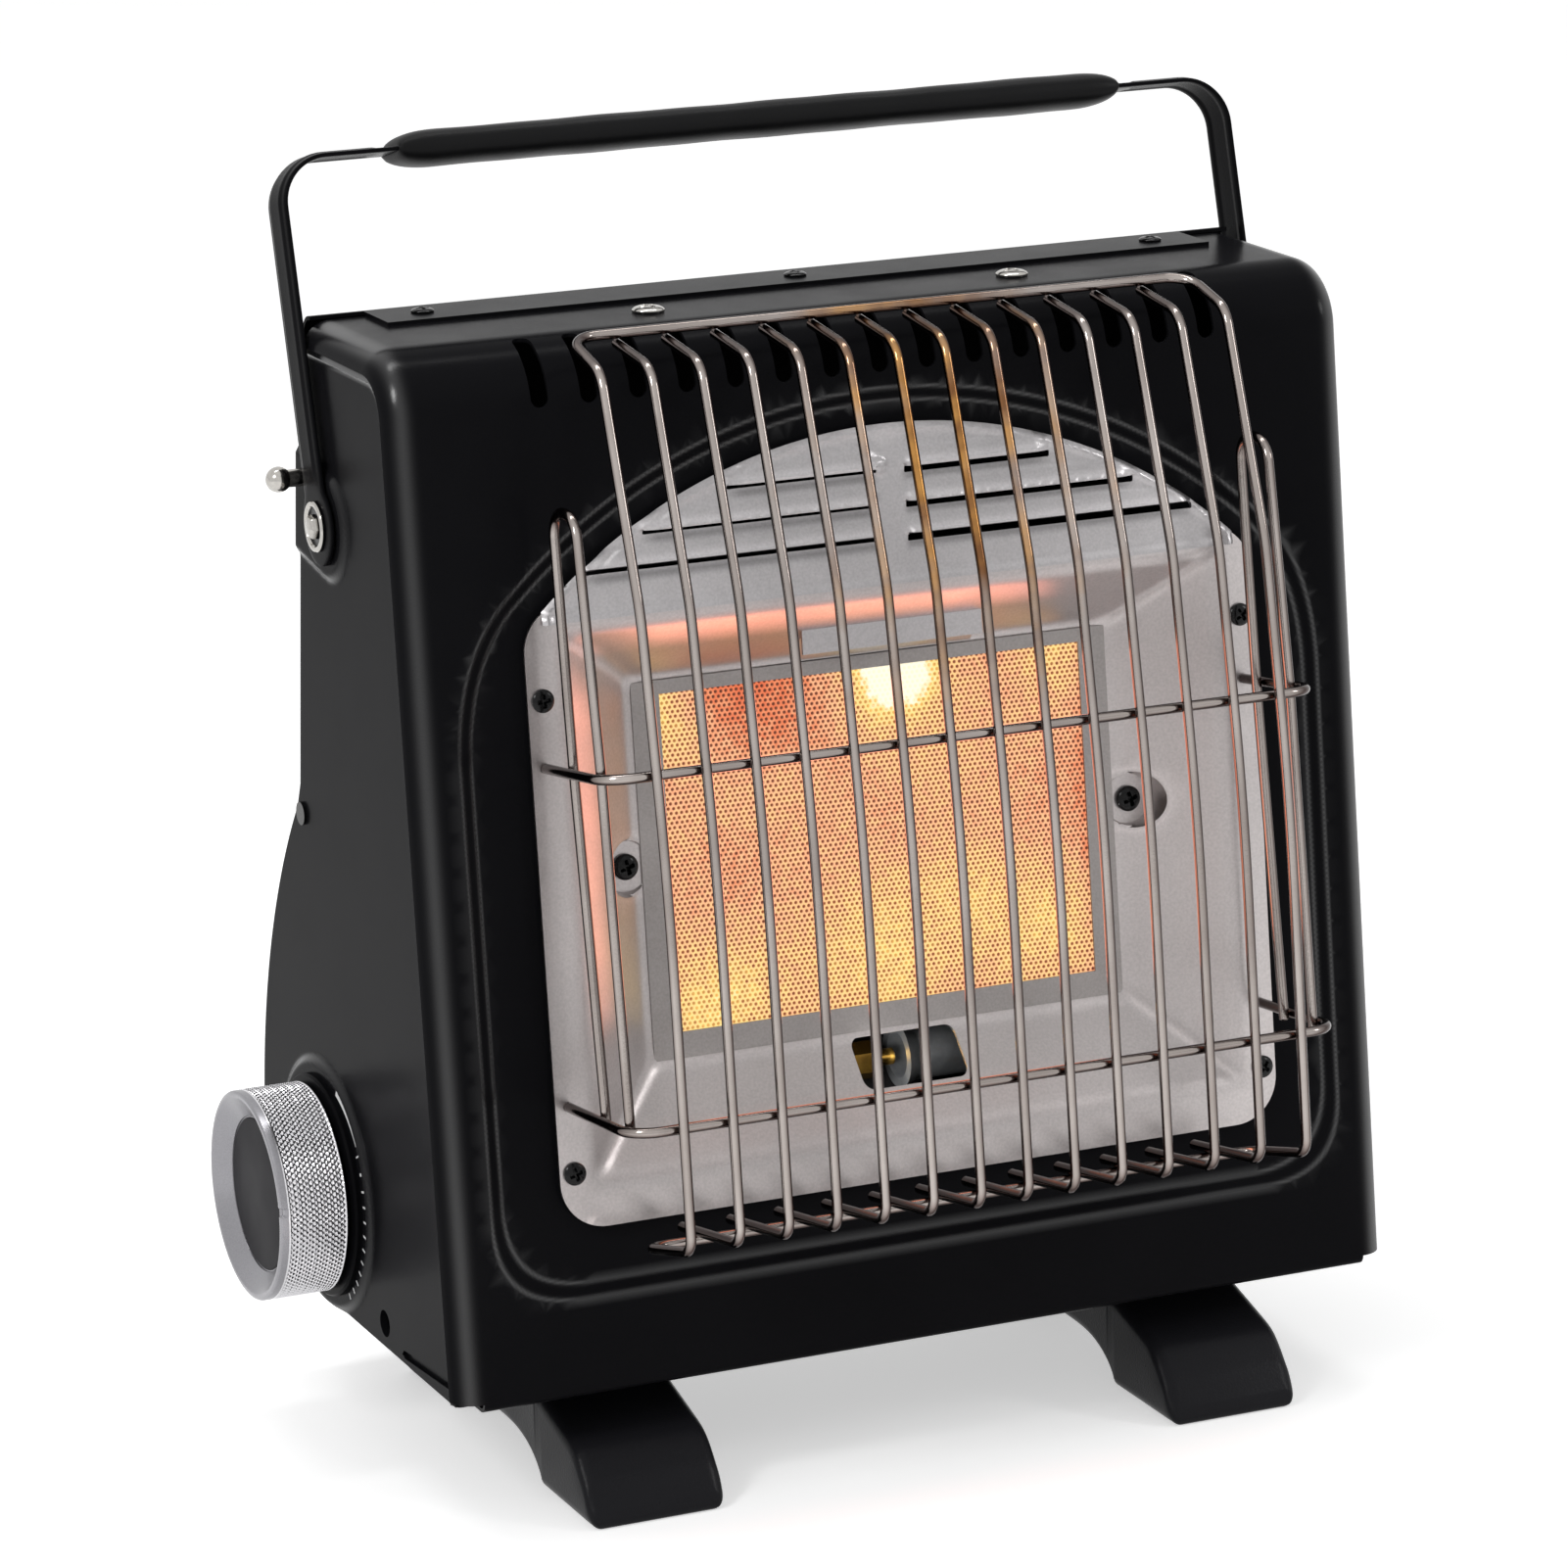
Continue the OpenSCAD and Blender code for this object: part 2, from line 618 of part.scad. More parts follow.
// ---- reflector and radiant front ----
module mouth(grow, d0, d1) {
    a = (mouth_w - floor_w) / 2 / pan_d;
    b = (floor_s0 - mouth_s0) / pan_d;
    c = (mouth_s1 - floor_s1) / pan_d;
    on_face() intersection() {
        linear_extrude(2 * flange_s1) polygon([for (k = [[-1, d0], [1, d0], [1, d1], [-1, d1]])
            [k[0] * (mouth_w / 2 + grow - a * k[1]), k[1]]]);
        across(2 * mouth_w) polygon([[d0, mouth_s0 - grow + b * d0], [d1, mouth_s0 - grow + b * d1],
            [d1, mouth_s1 + grow - c * d1], [d0, mouth_s1 + grow - c * d0]]);
    }
}
module flange_screw_places() {
    for (x = [-1, 1], s = [flange_s0 + 14.3, flange_s1 - 23.4])
        on_face() translate([x * (flange_w / 2 - 3.9), 0, s]) rotate([front_lean, 0, 0])
            translate([0, 0, -body_z]) children();
}
module reflector_pan() {
    wall = pan_t * 1.6;
    color("#c9cac8") placed() difference() {
        union() {
            face_plate(-pan_t, pan_t) polygon(round_rect(-flange_w / 2, flange_s0, flange_w / 2,
                flange_s1, flange_r));
            mouth(wall, 0, floor_back);
            for (x = [-1, 1]) rod_face(x * burner_screw_x, pan_d - 6, burner_screw_s,
                dimple_r + pan_t, 6 + pan_t);
        }
        mouth(0, -2 * pan_t, pan_d);
        for (x = [-1, 1]) {
            rod_face(x * burner_screw_x, -over, burner_screw_s, dimple_r, pan_d + over);
            rod_face(x * burner_screw_x, 0, burner_screw_s, 2 + seam, 2 * pan_d);
        }
        face_plate(pan_d - over, pan_t + 2 * over)
            translate([-plaque_w / 2 - 0.5, plaque_s0 - 0.5])
            square([plaque_w + 1, plaque_s1 - plaque_s0 + 1]);
        air_window();
        flange_screw_places() rod_face(0, -2 * pan_t, 0, 1.5 + seam, 4 * pan_t);
        rod_face(insulator_x, 0, insulator_s, insulator_r + seam, 2 * pan_d);
    }
}
// Air window in the lower wall, through which the nozzle is seen
window_x = 2.2;
module air_window() {
    d0 = pan_d - 9.2;
    d1 = pan_d - 0.2;
    on_face() translate([window_x - window_w / 2, d0, mouth_s0 - 6]) linear_extrude(floor_s0 - mouth_s0 + 4)
        polygon(round_rect(0, 0, window_w, d1 - d0, 3, 4));
}
module arch_plate() {
    color("#c9cac8") placed() difference() {
        face_plate(-2 * pan_t, pan_t) arch_outline(0);
        for (row = louvre_rows, side = [-1, 1])
            face_plate(-3 * pan_t, 3 * pan_t) translate([side > 0 ? louvre_in : -row[1], row[0]])
                translate([0, -louvre_w / 2]) square([row[1] - louvre_in, louvre_w]);
    }
}
module plaque_frame() {
    color("#8d8983") placed() face_plate(pan_d - frame_t, frame_t) difference() {
        translate([-glow_w / 2 - frame_rim, floor_s0 + 0.9])
            square([glow_w + 2 * frame_rim, floor_s1 - floor_s0 - 1.9]);
        translate([-glow_w / 2, glow_s0]) square([glow_w, glow_s1 - glow_s0]);
    }
}
// Tab over the plaque that keeps the flame on its face. It lies along the upper wall of
// the recess and hangs down from there.
deflector_x0 = -22;
deflector_x1 = 27.5;
deflector_d = 9;
deflector_s0 = glow_s1 + 6.5;
function upper_wall(d) = floor_s1 + (mouth_s1 - floor_s1) * (pan_d - d) / pan_d - seam;
module flame_deflector() {
    d = deflector_d;
    t = pan_t;
    color("#c9cac8") placed() difference() {
        on_face() across_from(deflector_x0, deflector_x1 - deflector_x0)
            polygon([[pan_d - 1, upper_wall(pan_d - 1)], [d - t, upper_wall(d - t)],
                [d - t, deflector_s0], [d, deflector_s0], [d, upper_wall(d) - 1.4 * t],
                [pan_d - 1, upper_wall(pan_d - 1) - 1.4 * t]]);
        rod_face(insulator_x, d + seam, insulator_s, insulator_r + seam, 2 * pan_d);
    }
}
module ceramic_plaque() {
    color("#e8a060") placed() face_plate(plaque_d, plaque_t)
        translate([-plaque_w / 2, plaque_s0]) square([plaque_w, plaque_s1 - plaque_s0]);
}
module plaque_gasket() {
    g = burner_half - sheet_t - seam;
    color("#d8d4c8") placed() face_plate(burner_d0 + sheet_t, plaque_t - sheet_t - 1) difference() {
        translate([-g, burner_s0 + sheet_t + seam])
            square([2 * g, burner_s1 - burner_s0 - 2 * sheet_t - 2 * seam]);
        translate([-plaque_w / 2 - seam, plaque_s0 - seam])
            square([plaque_w + 2 * seam, plaque_s1 - plaque_s0 + 2 * seam]);
    }
}
module burner_box(e, d0, d1) {
    face_plate(d0, d1 - d0) translate([e - burner_half, burner_s0 + e])
        square([2 * (burner_half - e), burner_s1 - burner_s0 - 2 * e]);
}
module burner_housing() {
    color("#b9bab8") placed() difference() {
        union() {
            burner_box(0, burner_d0, burner_d0 + burner_d);
            face_plate(burner_d0, sheet_t) translate([-wing_x, burner_screw_s - 10])
                square([2 * wing_x, 20]);
        }
        burner_box(sheet_t, burner_d0 - over, burner_d0 + burner_d - sheet_t);
        for (x = [-1, 1]) rod_face(x * burner_screw_x, 0, burner_screw_s, 2 + seam, 2 * pan_d);
        on_face() translate([riser_x, tube_d, 0]) cylinder(h = burner_s0 + 2 * sheet_t, r = riser_r + seam);
    }
}
module mixing_tube() {
    color("silver") placed() on_face() difference() {
        union() {
            rod_x(mouth_x, tube_d, tube_s, tube_r, riser_x + tube_r - mouth_x);
            rod_z(riser_x, tube_d, tube_s, riser_r, burner_s0 - tube_s + sheet_t);
            translate([mouth_x, tube_d, tube_s]) rotate([0, 90, 0])
                cylinder(h = 4, r1 = tube_r + 1.6, r2 = tube_r - 0.1);
        }
        rod_x(mouth_x - over, tube_d, tube_s, tube_r - tube_wall, riser_x + tube_r - mouth_x);
        rod_z(riser_x, tube_d, tube_s, riser_r - tube_wall, 2 * (burner_s0 - tube_s));
    }
}
module gas_nozzle() {
    color("#c8a04a") placed() on_face() difference() {
        union() {
            rod_x(nozzle_x - 6, tube_d, tube_s, 2.2, 6);
            translate([nozzle_x - 14, tube_d, tube_s]) rotate([0, 90, 0]) cylinder(h = 8, r = 5, $fn = 6);
        }
        rod_x(nozzle_x - 14 - over, tube_d, tube_s, 1.2, 14 + over - 1.5);
        rod_x(nozzle_x - 4, tube_d, tube_s, 0.4, 5);
    }
}

// ---- gas train ----
nozzle_end = face_point(nozzle_x - 14, tube_d, tube_s);
pipe_start = [outlet_x, knob_y - valve_r - 1, knob_z];
pipe_bow = pipe_start - [0, 12, 0];
pipe_turn = [outlet_x, nozzle_end[1], nozzle_end[2] - 19];
pipe_route = [pipe_start, pipe_bow, pipe_turn, [outlet_x + 20, nozzle_end[1], nozzle_end[2]],
    nozzle_end - [wire_gap, 0, 0]];
// Where the pipe passes the heat shield
pipe_share = (face_depth(pipe_bow) - shield_d) / (face_depth(pipe_bow) - face_depth(pipe_turn));
pipe_pass = pipe_bow + (pipe_turn - pipe_bow) * pipe_share;
module supply_pipe() {
    color("#b87844") placed() wire(pipe_route, [9, 9, 9], pipe_r);
}
bracket_h = 50;
socket_r = 12;
module regulator_body() {
    color("#a9abad") placed() difference() {
        union() {
            translate([-panel_in, piezo_y - piezo_r, knob_z - valve_r - 1])
                cube([valve_x + panel_in, can_y + socket_r - 2 - piezo_y + piezo_r, bracket_h]);
            rod_x(valve_x - over, knob_y, knob_z, valve_r, valve_l + over);
            rod_x(valve_x + 8, drum_y, drum_z, drum_r, socket_x + 2 - valve_x - 8);
            rod_x(socket_x, can_y, can_z, socket_r, socket_l);
            translate([outlet_x, knob_y, knob_z]) rotate([90, 0, 0]) cylinder(h = valve_r + 1 - wire_gap, r = 4.5);
        }
        rod_x(-half_w, knob_y, knob_z, stem_r + run_fit, half_w + valve_x + 12);
        rod_x(socket_x + 1, can_y, can_z, tip_r + clear, socket_l);
    }
}
module valve_stem() {
    color("silver") placed() rod_x(-knob_face + cap_recess + cap_t + 2.1, knob_y, knob_z, stem_r,
        knob_face - cap_recess - cap_t - 2.1 + valve_x + 11);
}
module gas_cartridge() {
    color("#3f6f9a") placed() {
        rod_x(can_x0, can_y, can_z, can_r, can_l);
        translate([can_x0 - neck_l, can_y, can_z]) rotate([0, 90, 0])
            cylinder(h = neck_l + 0.5, r1 = collar_r - 2, r2 = can_r - 1);
        rod_x(can_x0 - neck_l - collar_t, can_y, can_z, collar_r, collar_t + 0.5);
        rod_x(socket_x + 2, can_y, can_z, tip_r, socket_l);
    }
}
cradle_t = 1;
cradle_x = can_x0 + 14;
cradle_l = can_l - 35;
cradle_back = 26;
cradle_front = 10;
cradle_leg = 4;
module cartridge_cradle() {
    z = body_z + 2 * sheet_t;
    bed = can_r + clear;
    color("#9c9ea0") placed() difference() {
        union() {
            intersection() {
                rod_x(cradle_x, can_y, can_z, bed + cradle_t, cradle_l);
                translate([cradle_x, can_y - cradle_back, z])
                    cube([cradle_l, cradle_back + cradle_front, can_r]);
            }
            for (x = [cradle_x + 10, cradle_x + cradle_l - 10 - cradle_leg])
                translate([x, can_y - 20, z]) cube([cradle_leg, 20, can_z - bed - z + 6]);
        }
        rod_x(cradle_x - over, can_y, can_z, bed, cradle_l + 2 * over);
    }
}
module heat_shield() {
    color("#b9bab8") placed() difference() {
        union() {
            face_plate(shield_d, shield_t) translate([-shield_half, shield_s0])
                square([2 * shield_half, shield_s1 - shield_s0]);
            for (x = [-shield_half, shield_half - shield_t])
                face_plate(shield_d, 6) translate([x, shield_s0 + 40])
                    square([shield_t, shield_s1 - shield_s0 - 60]);
        }
        rod_face(outlet_x, 0, face_height(pipe_pass), pipe_r + 1, 2 * shield_d);
        rod_face(insulator_x, 0, insulator_s, insulator_r + seam, 2 * shield_d);
    }
}
// Baffle that turns the hot air out through the vent slots
baffle_l = 220;
module baffle_outline() {
    lap = 5.5;
    y0 = vent_reach - lap;
    y1 = baffle_screw_y + 8;
    z1 = body_top - sheet_t;
    lip = y1 - 14;
    t = shield_t;
    polygon([[y0, baffle_z], [y1, baffle_z], [y1, z1], [lip, z1], [lip, z1 - t],
        [y1 - t, z1 - t], [y1 - t, baffle_z + t], [y0, baffle_z + t]]);
}
module top_baffle() {
    color("#b9bab8") placed() difference() {
        across(baffle_l) baffle_outline();
        for (x = [-1, 1]) rod_z(x * baffle_screw_x, baffle_screw_y, body_top - 4, 2 + seam, 8);
    }
}
module electrode_insulator() {
    color("white") placed() difference() {
        rod_face(insulator_x, insulator_d, insulator_s, insulator_r, shield_d + 5 - insulator_d);
        rod_face(insulator_x, 0, insulator_s, electrode_r + wire_gap, 2 * shield_d);
    }
}
// The electrode's tip stands this far under the recess's floor edge
electrode_reach = 1.5;
module spark_electrode() {
    d = deflector_d + 1.2;
    color("silver") placed() wire([face_point(insulator_x, shield_d + 5, insulator_s),
        face_point(insulator_x, d, insulator_s), face_point(insulator_x, d, insulator_s - 4),
        face_point(insulator_x, pan_d - 5, floor_s1 - electrode_reach)], [2, 2], electrode_r);
}
module igniter_wire() {
    a = face_point(insulator_x, shield_d + 5 + wire_gap, insulator_s);
    b = [valve_x + piezo_l + wire_gap, piezo_y, piezo_z];
    color("#c8c4bc") placed() wire([a, a + [0, 14, -1.5], [-62, a[1] + 14, 160],
        [b[0] + 9, piezo_y + 4, piezo_z + 34], b + [9, 0, 0], b], [5, 12, 8, 5], 1);
}
module piezo_igniter() {
    color("#d9d9d2") placed() union() {
        rod_x(valve_x, piezo_y, piezo_z, piezo_r, piezo_l - 8);
        rod_x(valve_x + piezo_l - 8 - over, piezo_y, piezo_z, 3, 8 + over);
    }
}

// ---- knob ----
module control_knob() {
    hub = 7;
    color("#d5d6d8") placed() difference() {
        union() {
            rod_x(-knob_face + 1, knob_y, knob_z, knob_r, knob_l - 1);
            translate([-knob_face, knob_y, knob_z]) rotate([0, 90, 0])
                cylinder(h = 1, r1 = knob_r - 1, r2 = knob_r);
        }
        rod_x(-knob_face - over, knob_y, knob_z, cap_r, over + cap_recess + cap_t);
        translate([-knob_face - over, knob_y, knob_z]) rotate([0, 90, 0])
            cylinder(h = cap_recess, r1 = knob_r - 1.6, r2 = cap_r);
        difference() {
            rod_x(-knob_face + cap_recess + cap_t + 2, knob_y, knob_z, knob_r - 3, knob_l);
            rod_x(-knob_face, knob_y, knob_z, hub, knob_l);
        }
        rod_x(-knob_face + cap_recess + cap_t + 2, knob_y, knob_z, stem_r + wire_gap, knob_l);
    }
}
module knob_cap() {
    color("#16171a") placed() rod_x(-knob_face + cap_recess, knob_y, knob_z, cap_r - wire_gap,
        cap_t - 0.05);
}
module knob_bezel() {
    color("#16171a") placed() difference() {
        rod_x(-half_w - bezel_t, knob_y, knob_z, bezel_r, bezel_t);
        rod_x(-half_w - bezel_t - over, knob_y, knob_z, stem_r + 3, bezel_t + 2 * over);
    }
}

// ---- guard ----
function side_route(x, top) = [[x, top[0], top[1]], [x, knee[0], knee[1]],
    [x, bow_turns[0][0], bow_turns[0][1]], [x, bow_turns[1][0], bow_turns[1][1]],
    [x, -guard_reach, belly_z]];
bow_bends = [8, 60, 500, 4.5];
// The inner upright wires, counted from the left
module guard_bars(first, last) {
    color("#d0d2d4") placed() for (i = [first:last]) {
        x = -guard_w / 2 + i * bar_pitch;
        wire(concat(side_route(x, [rail_y + 1, rail_z - 2 * wire_r - wire_gap]),
            [[x, leg_tip[0], leg_tip[1]]]), bow_bends, wire_r);
    }
}
third = floor((bar_n - 2) / 3);
module guard_bars_left() { guard_bars(1, third); }
module guard_bars_middle() { guard_bars(third + 1, bar_n - 2 - third); }
module guard_bars_right() { guard_bars(bar_n - 1 - third, bar_n - 2); }
module guard_frame() {
    x = guard_w / 2;
    corner = [for (k = [1, -1]) [k * x, bottom_bar_y, bottom_bar_z]];
    half = concat(flip(side_route(-x, [rail_y, rail_z])), side_route(x, [rail_y, rail_z]));
    color("#d0d2d4") placed()
        wire(concat([[0, bottom_bar_y, bottom_bar_z], corner[1]], half, [corner[0],
            [wire_gap, bottom_bar_y, bottom_bar_z]]),
            concat([6], flip(bow_bends), [7, 7], bow_bends, [6]), wire_r);
}
// A hoop from the flange's edge, round the guard's front, which is rise higher
module hoop(z, rise) {
    x = hoop_w / 2;
    front = [0, bow_y(z) + 2 * wire_r + weld_gap, z];
    d = face_depth(front);
    s = face_height(front);
    color("#d0d2d4") placed() wire([face_point(-x, -pan_t - weld_gap, s - rise),
        face_point(-x, d, s), face_point(x, d, s), face_point(x, -pan_t - weld_gap, s - rise)],
        [8, 8], wire_r);
}
module guard_upper_hoop() { hoop(hoop_upper_z, 1.5); }
module guard_lower_hoop() { hoop(hoop_lower_z, 0); }
// Hairpin loops beside the guard, between the two hoops and above them
module guard_side_loops() {
    x = hoop_w / 2 - 2 * wire_r - wire_gap;
    color("#d0d2d4") placed() both_sides()
        wire([for (t = loop_turns) [x, front_y(t[1], 0) - t[0], t[1]]], [300, 6.5, 6.5, 80], wire_r);
}

// ---- handle ----
// Children drawn as X, depth across the strap and height from the pivot
module on_handle() {
    translate([0, pivot_y, pivot_z]) rotate([-handle_lean, 0, 0]) children();
}
function strap_skin(e) = concat([[strap_out - e, 0]],
    arc([strap_out - strap_r, strap_h - strap_r], strap_r - e, 0, 90, 8),
    arc([strap_r - strap_out, strap_h - strap_r], strap_r - e, 90, 180, 8), [[e - strap_out, 0]]);
module handle_strap() {
    color("#1b1c1f") placed() on_handle() difference() {
        union() {
            translate([0, strap_w / 2, 0]) rotate([90, 0, 0]) linear_extrude(strap_w)
                polygon(concat(strap_skin(0), flip(strap_skin(strap_t))));
            both_sides() rod_x(strap_in, 0, 0, lug_r, strap_t);
        }
        rod_x(-2 * half_w, 0, 0, pivot_r + run_fit, 4 * half_w);
    }
}
module handle_grip() {
    h = strap_h - strap_t / 2;
    half = grip_l / 2;
    color("#16171a") placed() on_handle() difference() {
        intersection() {
            rotate([0, 90, 0]) translate([-h, 0, -half - grip_taper]) linear_extrude(grip_l + 2 * grip_taper)
                polygon(round_rect(-grip_t / 2, -grip_w / 2, grip_t / 2, grip_w / 2,
                    grip_t / 2 - 0.3, 5));
            translate([0, grip_w, 0]) rotate([90, 0, 0]) linear_extrude(2 * grip_w)
                polygon([[-half - grip_taper, h - 2], [-half, h - grip_t], [half, h - grip_t],
                    [half + grip_taper, h - 2], [half + grip_taper, h + 2], [half, h + grip_t],
                    [-half, h + grip_t], [-half - grip_taper, h + 2]]);
        }
        translate([-half_w, -strap_w / 2 - wire_gap, strap_h - strap_t - wire_gap])
            cube([2 * half_w, strap_w + 2 * wire_gap, strap_t + 2 * wire_gap]);
    }
}
module handle_pivot_screws() {
    color("silver") placed() both_sides() translate([strap_out + wire_gap, pivot_y, pivot_z])
        rotate([0, 90, 0]) screw(pivot_head_r, pivot_head_t, pivot_r, strap_out + wire_gap - panel_in + 6);
}
module handle_pivot_nuts() {
    color("silver") placed() both_sides() difference() {
        translate([panel_in - 5, pivot_y, pivot_z]) rotate([0, 90, 0]) cylinder(h = 5, r = 5, $fn = 6);
        rod_x(0, pivot_y, pivot_z, pivot_r + wire_gap, half_w);
    }
}
// Ball-ended pins that stop the handle as it leans back
module handle_stop_pins() {
    color("silver") placed() both_sides() {
        rod_x(panel_in - 3, stop_y, stop_z, stop_r, ball_x - panel_in + 3);
        translate([ball_x, stop_y, stop_z]) sphere(r = ball_r);
        rod_x(panel_x, stop_y, stop_z, stop_r + 1, 1);
    }
}

// ---- fasteners ----
module flange_screws() {
    color("#16171a") placed() flange_screw_places() on_face() translate([0, -pan_t, 0])
        rotate([90, 0, 0]) screw(2.75, 1.6, 1.5, 6);
}
module burner_screws() {
    color("#16171a") placed() for (x = [-1, 1]) on_face()
        translate([x * burner_screw_x, pan_d, burner_screw_s]) rotate([90, 0, 0]) screw(3.25, 2.4, 2, 7);
}
module baffle_screws() {
    color("silver") placed() for (x = [-1, 1])
        translate([x * baffle_screw_x, baffle_screw_y, body_top]) screw(4, 1.6, 2, 6);
}
module rear_cover_screws() {
    color("#16171a") placed() {
        for (x = cover_screw_x) translate([x, cover_screw_y, cover_top]) screw(2.75, 0.9, 1.5, 6);
        rear_screw_places() screw(2.75, 1.2, 1.5, 6);
    }
}

// ---- feet ----
foot_y0 = -foot_front;
foot_mid = foot_y0 + foot_l / 2;
module foot_screw_places() {
    for (x = [-1, 1], y = [foot_y0 + 44, foot_y0 + foot_l - 44])
        translate([x * foot_x, y, 0]) children();
}
module foot_outline() {
    half = foot_l / 2;
    gap = half - pad_l;
    steps = 12;
    under = [for (i = [-steps:steps]) let(t = i / steps)
        [-gap * t, foot_arch * pow(1 - pow(abs(t), 3.2), 0.8)]];
    side = [[-half + 0.7, 0], [-half, 0.8], [-half + 0.6, 4], [-half + 10, 16.6], [-half + 12, 18.6],
        [-half + 15, 19.8], [-half + 34, 25], [-half + 37, body_z]];
    translate([foot_mid, 0]) polygon(concat(side,
        flip([for (c = side) [-c[0], c[1]]]), under));
}
module foot(x) {
    color("#16171a") placed() difference() {
        translate([x, 0, 0]) across(foot_w) foot_outline();
        foot_screw_places() rod_z(0, 0, body_z - 12, 2 + seam, 14);
    }
}
module left_foot() { foot(-foot_x); }
module right_foot() { foot(foot_x); }
module foot_screws() {
    color("silver") placed() foot_screw_places()
        translate([0, 0, body_z + 2 * sheet_t]) screw(4, 1.8, 2, 12);
}

front_casing();
left_side_panel();
right_side_panel();
rear_cover();
base_plate();
cartridge_door();
door_hinge_pins();
door_catch();
reflector_pan();
arch_plate();
plaque_frame();
flame_deflector();
ceramic_plaque();
plaque_gasket();
burner_housing();
mixing_tube();
gas_nozzle();
supply_pipe();
regulator_body();
valve_stem();
gas_cartridge();
cartridge_cradle();
heat_shield();
top_baffle();
electrode_insulator();
spark_electrode();
igniter_wire();
piezo_igniter();
control_knob();
knob_cap();
knob_bezel();
guard_frame();
guard_bars_left();
guard_bars_middle();
guard_bars_right();
guard_upper_hoop();
guard_lower_hoop();
guard_side_loops();
handle_strap();
handle_grip();
handle_pivot_screws();
handle_pivot_nuts();
handle_stop_pins();
flange_screws();
burner_screws();
baffle_screws();
rear_cover_screws();
left_foot();
right_foot();
foot_screws();
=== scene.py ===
"""Looks of a portable propane heater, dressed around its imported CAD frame."""

import logging
import math
from collections.abc import Callable, Sequence
from dataclasses import dataclass, field
from enum import Enum
from functools import cached_property

import bpy
import numpy as np
from mathutils import Matrix, Vector
from mathutils.geometry import delaunay_2d_cdt


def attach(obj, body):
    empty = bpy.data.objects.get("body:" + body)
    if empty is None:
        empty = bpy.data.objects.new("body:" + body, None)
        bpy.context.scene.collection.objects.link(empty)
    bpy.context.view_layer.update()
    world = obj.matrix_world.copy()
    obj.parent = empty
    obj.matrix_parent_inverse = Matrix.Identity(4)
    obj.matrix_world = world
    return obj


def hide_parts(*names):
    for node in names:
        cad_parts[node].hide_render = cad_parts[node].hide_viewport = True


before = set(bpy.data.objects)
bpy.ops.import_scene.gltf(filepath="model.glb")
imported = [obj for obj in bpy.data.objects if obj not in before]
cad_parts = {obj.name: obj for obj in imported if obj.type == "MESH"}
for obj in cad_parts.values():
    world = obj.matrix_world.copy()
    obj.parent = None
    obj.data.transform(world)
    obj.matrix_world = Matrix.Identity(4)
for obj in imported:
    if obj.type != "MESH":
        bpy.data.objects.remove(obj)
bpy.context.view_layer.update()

log = logging.getLogger("heater")

Array = np.ndarray
Solid = tuple[Array, list[list[int]]]
Pair = tuple[float, float]
Triple = tuple[float, float, float]
Quad = tuple[float, float, float, float]
Colour = Quad

# All the sizes below are in millimetres: X to the right, Y to the back, Z up, with the
# foot of the front face at Y = 0. ORIGIN is the frame's origin in those terms.
MM = 0.001
ORIGIN = np.array([-5.5, 50.25, 0.0])
SLIVER = 1e-7  # A flat triangle with less than half this area in square mm is dropped.
CHUNK = 1500  # How many points have their distances worked out at once.


class Body(Enum):
    """The CAD body that a piece moves with."""

    CABINET = "cabinet"
    HANDLE = "handle"
    KNOB = "knob"
    DOOR = "door"


# ---- numbers and curves ----


def smooth_step(low: float, high: float, value: Array) -> Array:
    """Rises from 0 at low to 1 at high as 3 t squared minus 2 t cubed."""
    t = np.clip((value - low) / (high - low), 0.0, 1.0)
    return t * t * (3.0 - 2.0 * t)


def smooth_min(a: Array, b: Array, k: float) -> Array:
    """The smaller of two fields, with a round valley where they differ by less than k.

    Args:
        a: First field.
        b: Second field.
        k: Width of the rounding.

    Returns:
        b + (a - b) h - k h (1 - h), where h is 0.5 + (b - a) / 2k held between 0 and 1.
    """
    h = np.clip(0.5 + 0.5 * (b - a) / k, 0.0, 1.0)
    return b + (a - b) * h - k * h * (1.0 - h)


def smooth_max(a: Array, b: Array, k: float) -> Array:
    """The larger of two fields, rounded as smooth_min rounds the smaller."""
    return -smooth_min(-a, -b, k)


def triangle_wave(value: Array) -> Array:
    """Goes from 0 to 1 and back to 0 in straight lines once in every unit."""
    return 1.0 - np.abs(2.0 * (value - np.floor(value)) - 1.0)


def unit(vectors: Array) -> Array:
    """Each row divided by its length."""
    return vectors / np.linalg.norm(vectors, axis=-1, keepdims=True)


def turned(degrees: float) -> Pair:
    """Cosine and sine of an angle."""
    return math.cos(math.radians(degrees)), math.sin(math.radians(degrees))


def crest(offset: Array, width: float) -> Array:
    """A bell curve over an offset, exp(-(offset / width) squared)."""
    return np.exp(-(offset / width) ** 2)


def arc(centre: Sequence[float], radius: float, start: float, end: float, count: int) -> Array:
    """Points at even angles on an arc.

    Args:
        centre: Middle of the arc.
        radius: Radius of the arc.
        start: First angle in degrees.
        end: Last angle in degrees.
        count: Number of points.

    Returns:
        An array of points, centre + radius (cos a, sin a).
    """
    angle = np.radians(np.linspace(start, end, count))
    return np.asarray(centre) + radius * np.stack([np.cos(angle), np.sin(angle)], -1)


def filled(start: Array, end: Array, spacing: float) -> Array:
    """Puts extra points on straight stretches.

    Args:
        start: Start of each stretch.
        end: End of each stretch.
        spacing: Longest step that is left.

    Returns:
        Each stretch's start and the points between it and its end, in order.
    """
    counts = np.maximum(1, np.ceil(np.linalg.norm(end - start, axis=1) / spacing)).astype(int)
    row = np.repeat(np.arange(len(start)), counts)
    share = (np.arange(len(row)) - np.repeat(np.cumsum(counts) - counts, counts)) / counts[row]
    return start[row] + (end[row] - start[row]) * share[:, None]


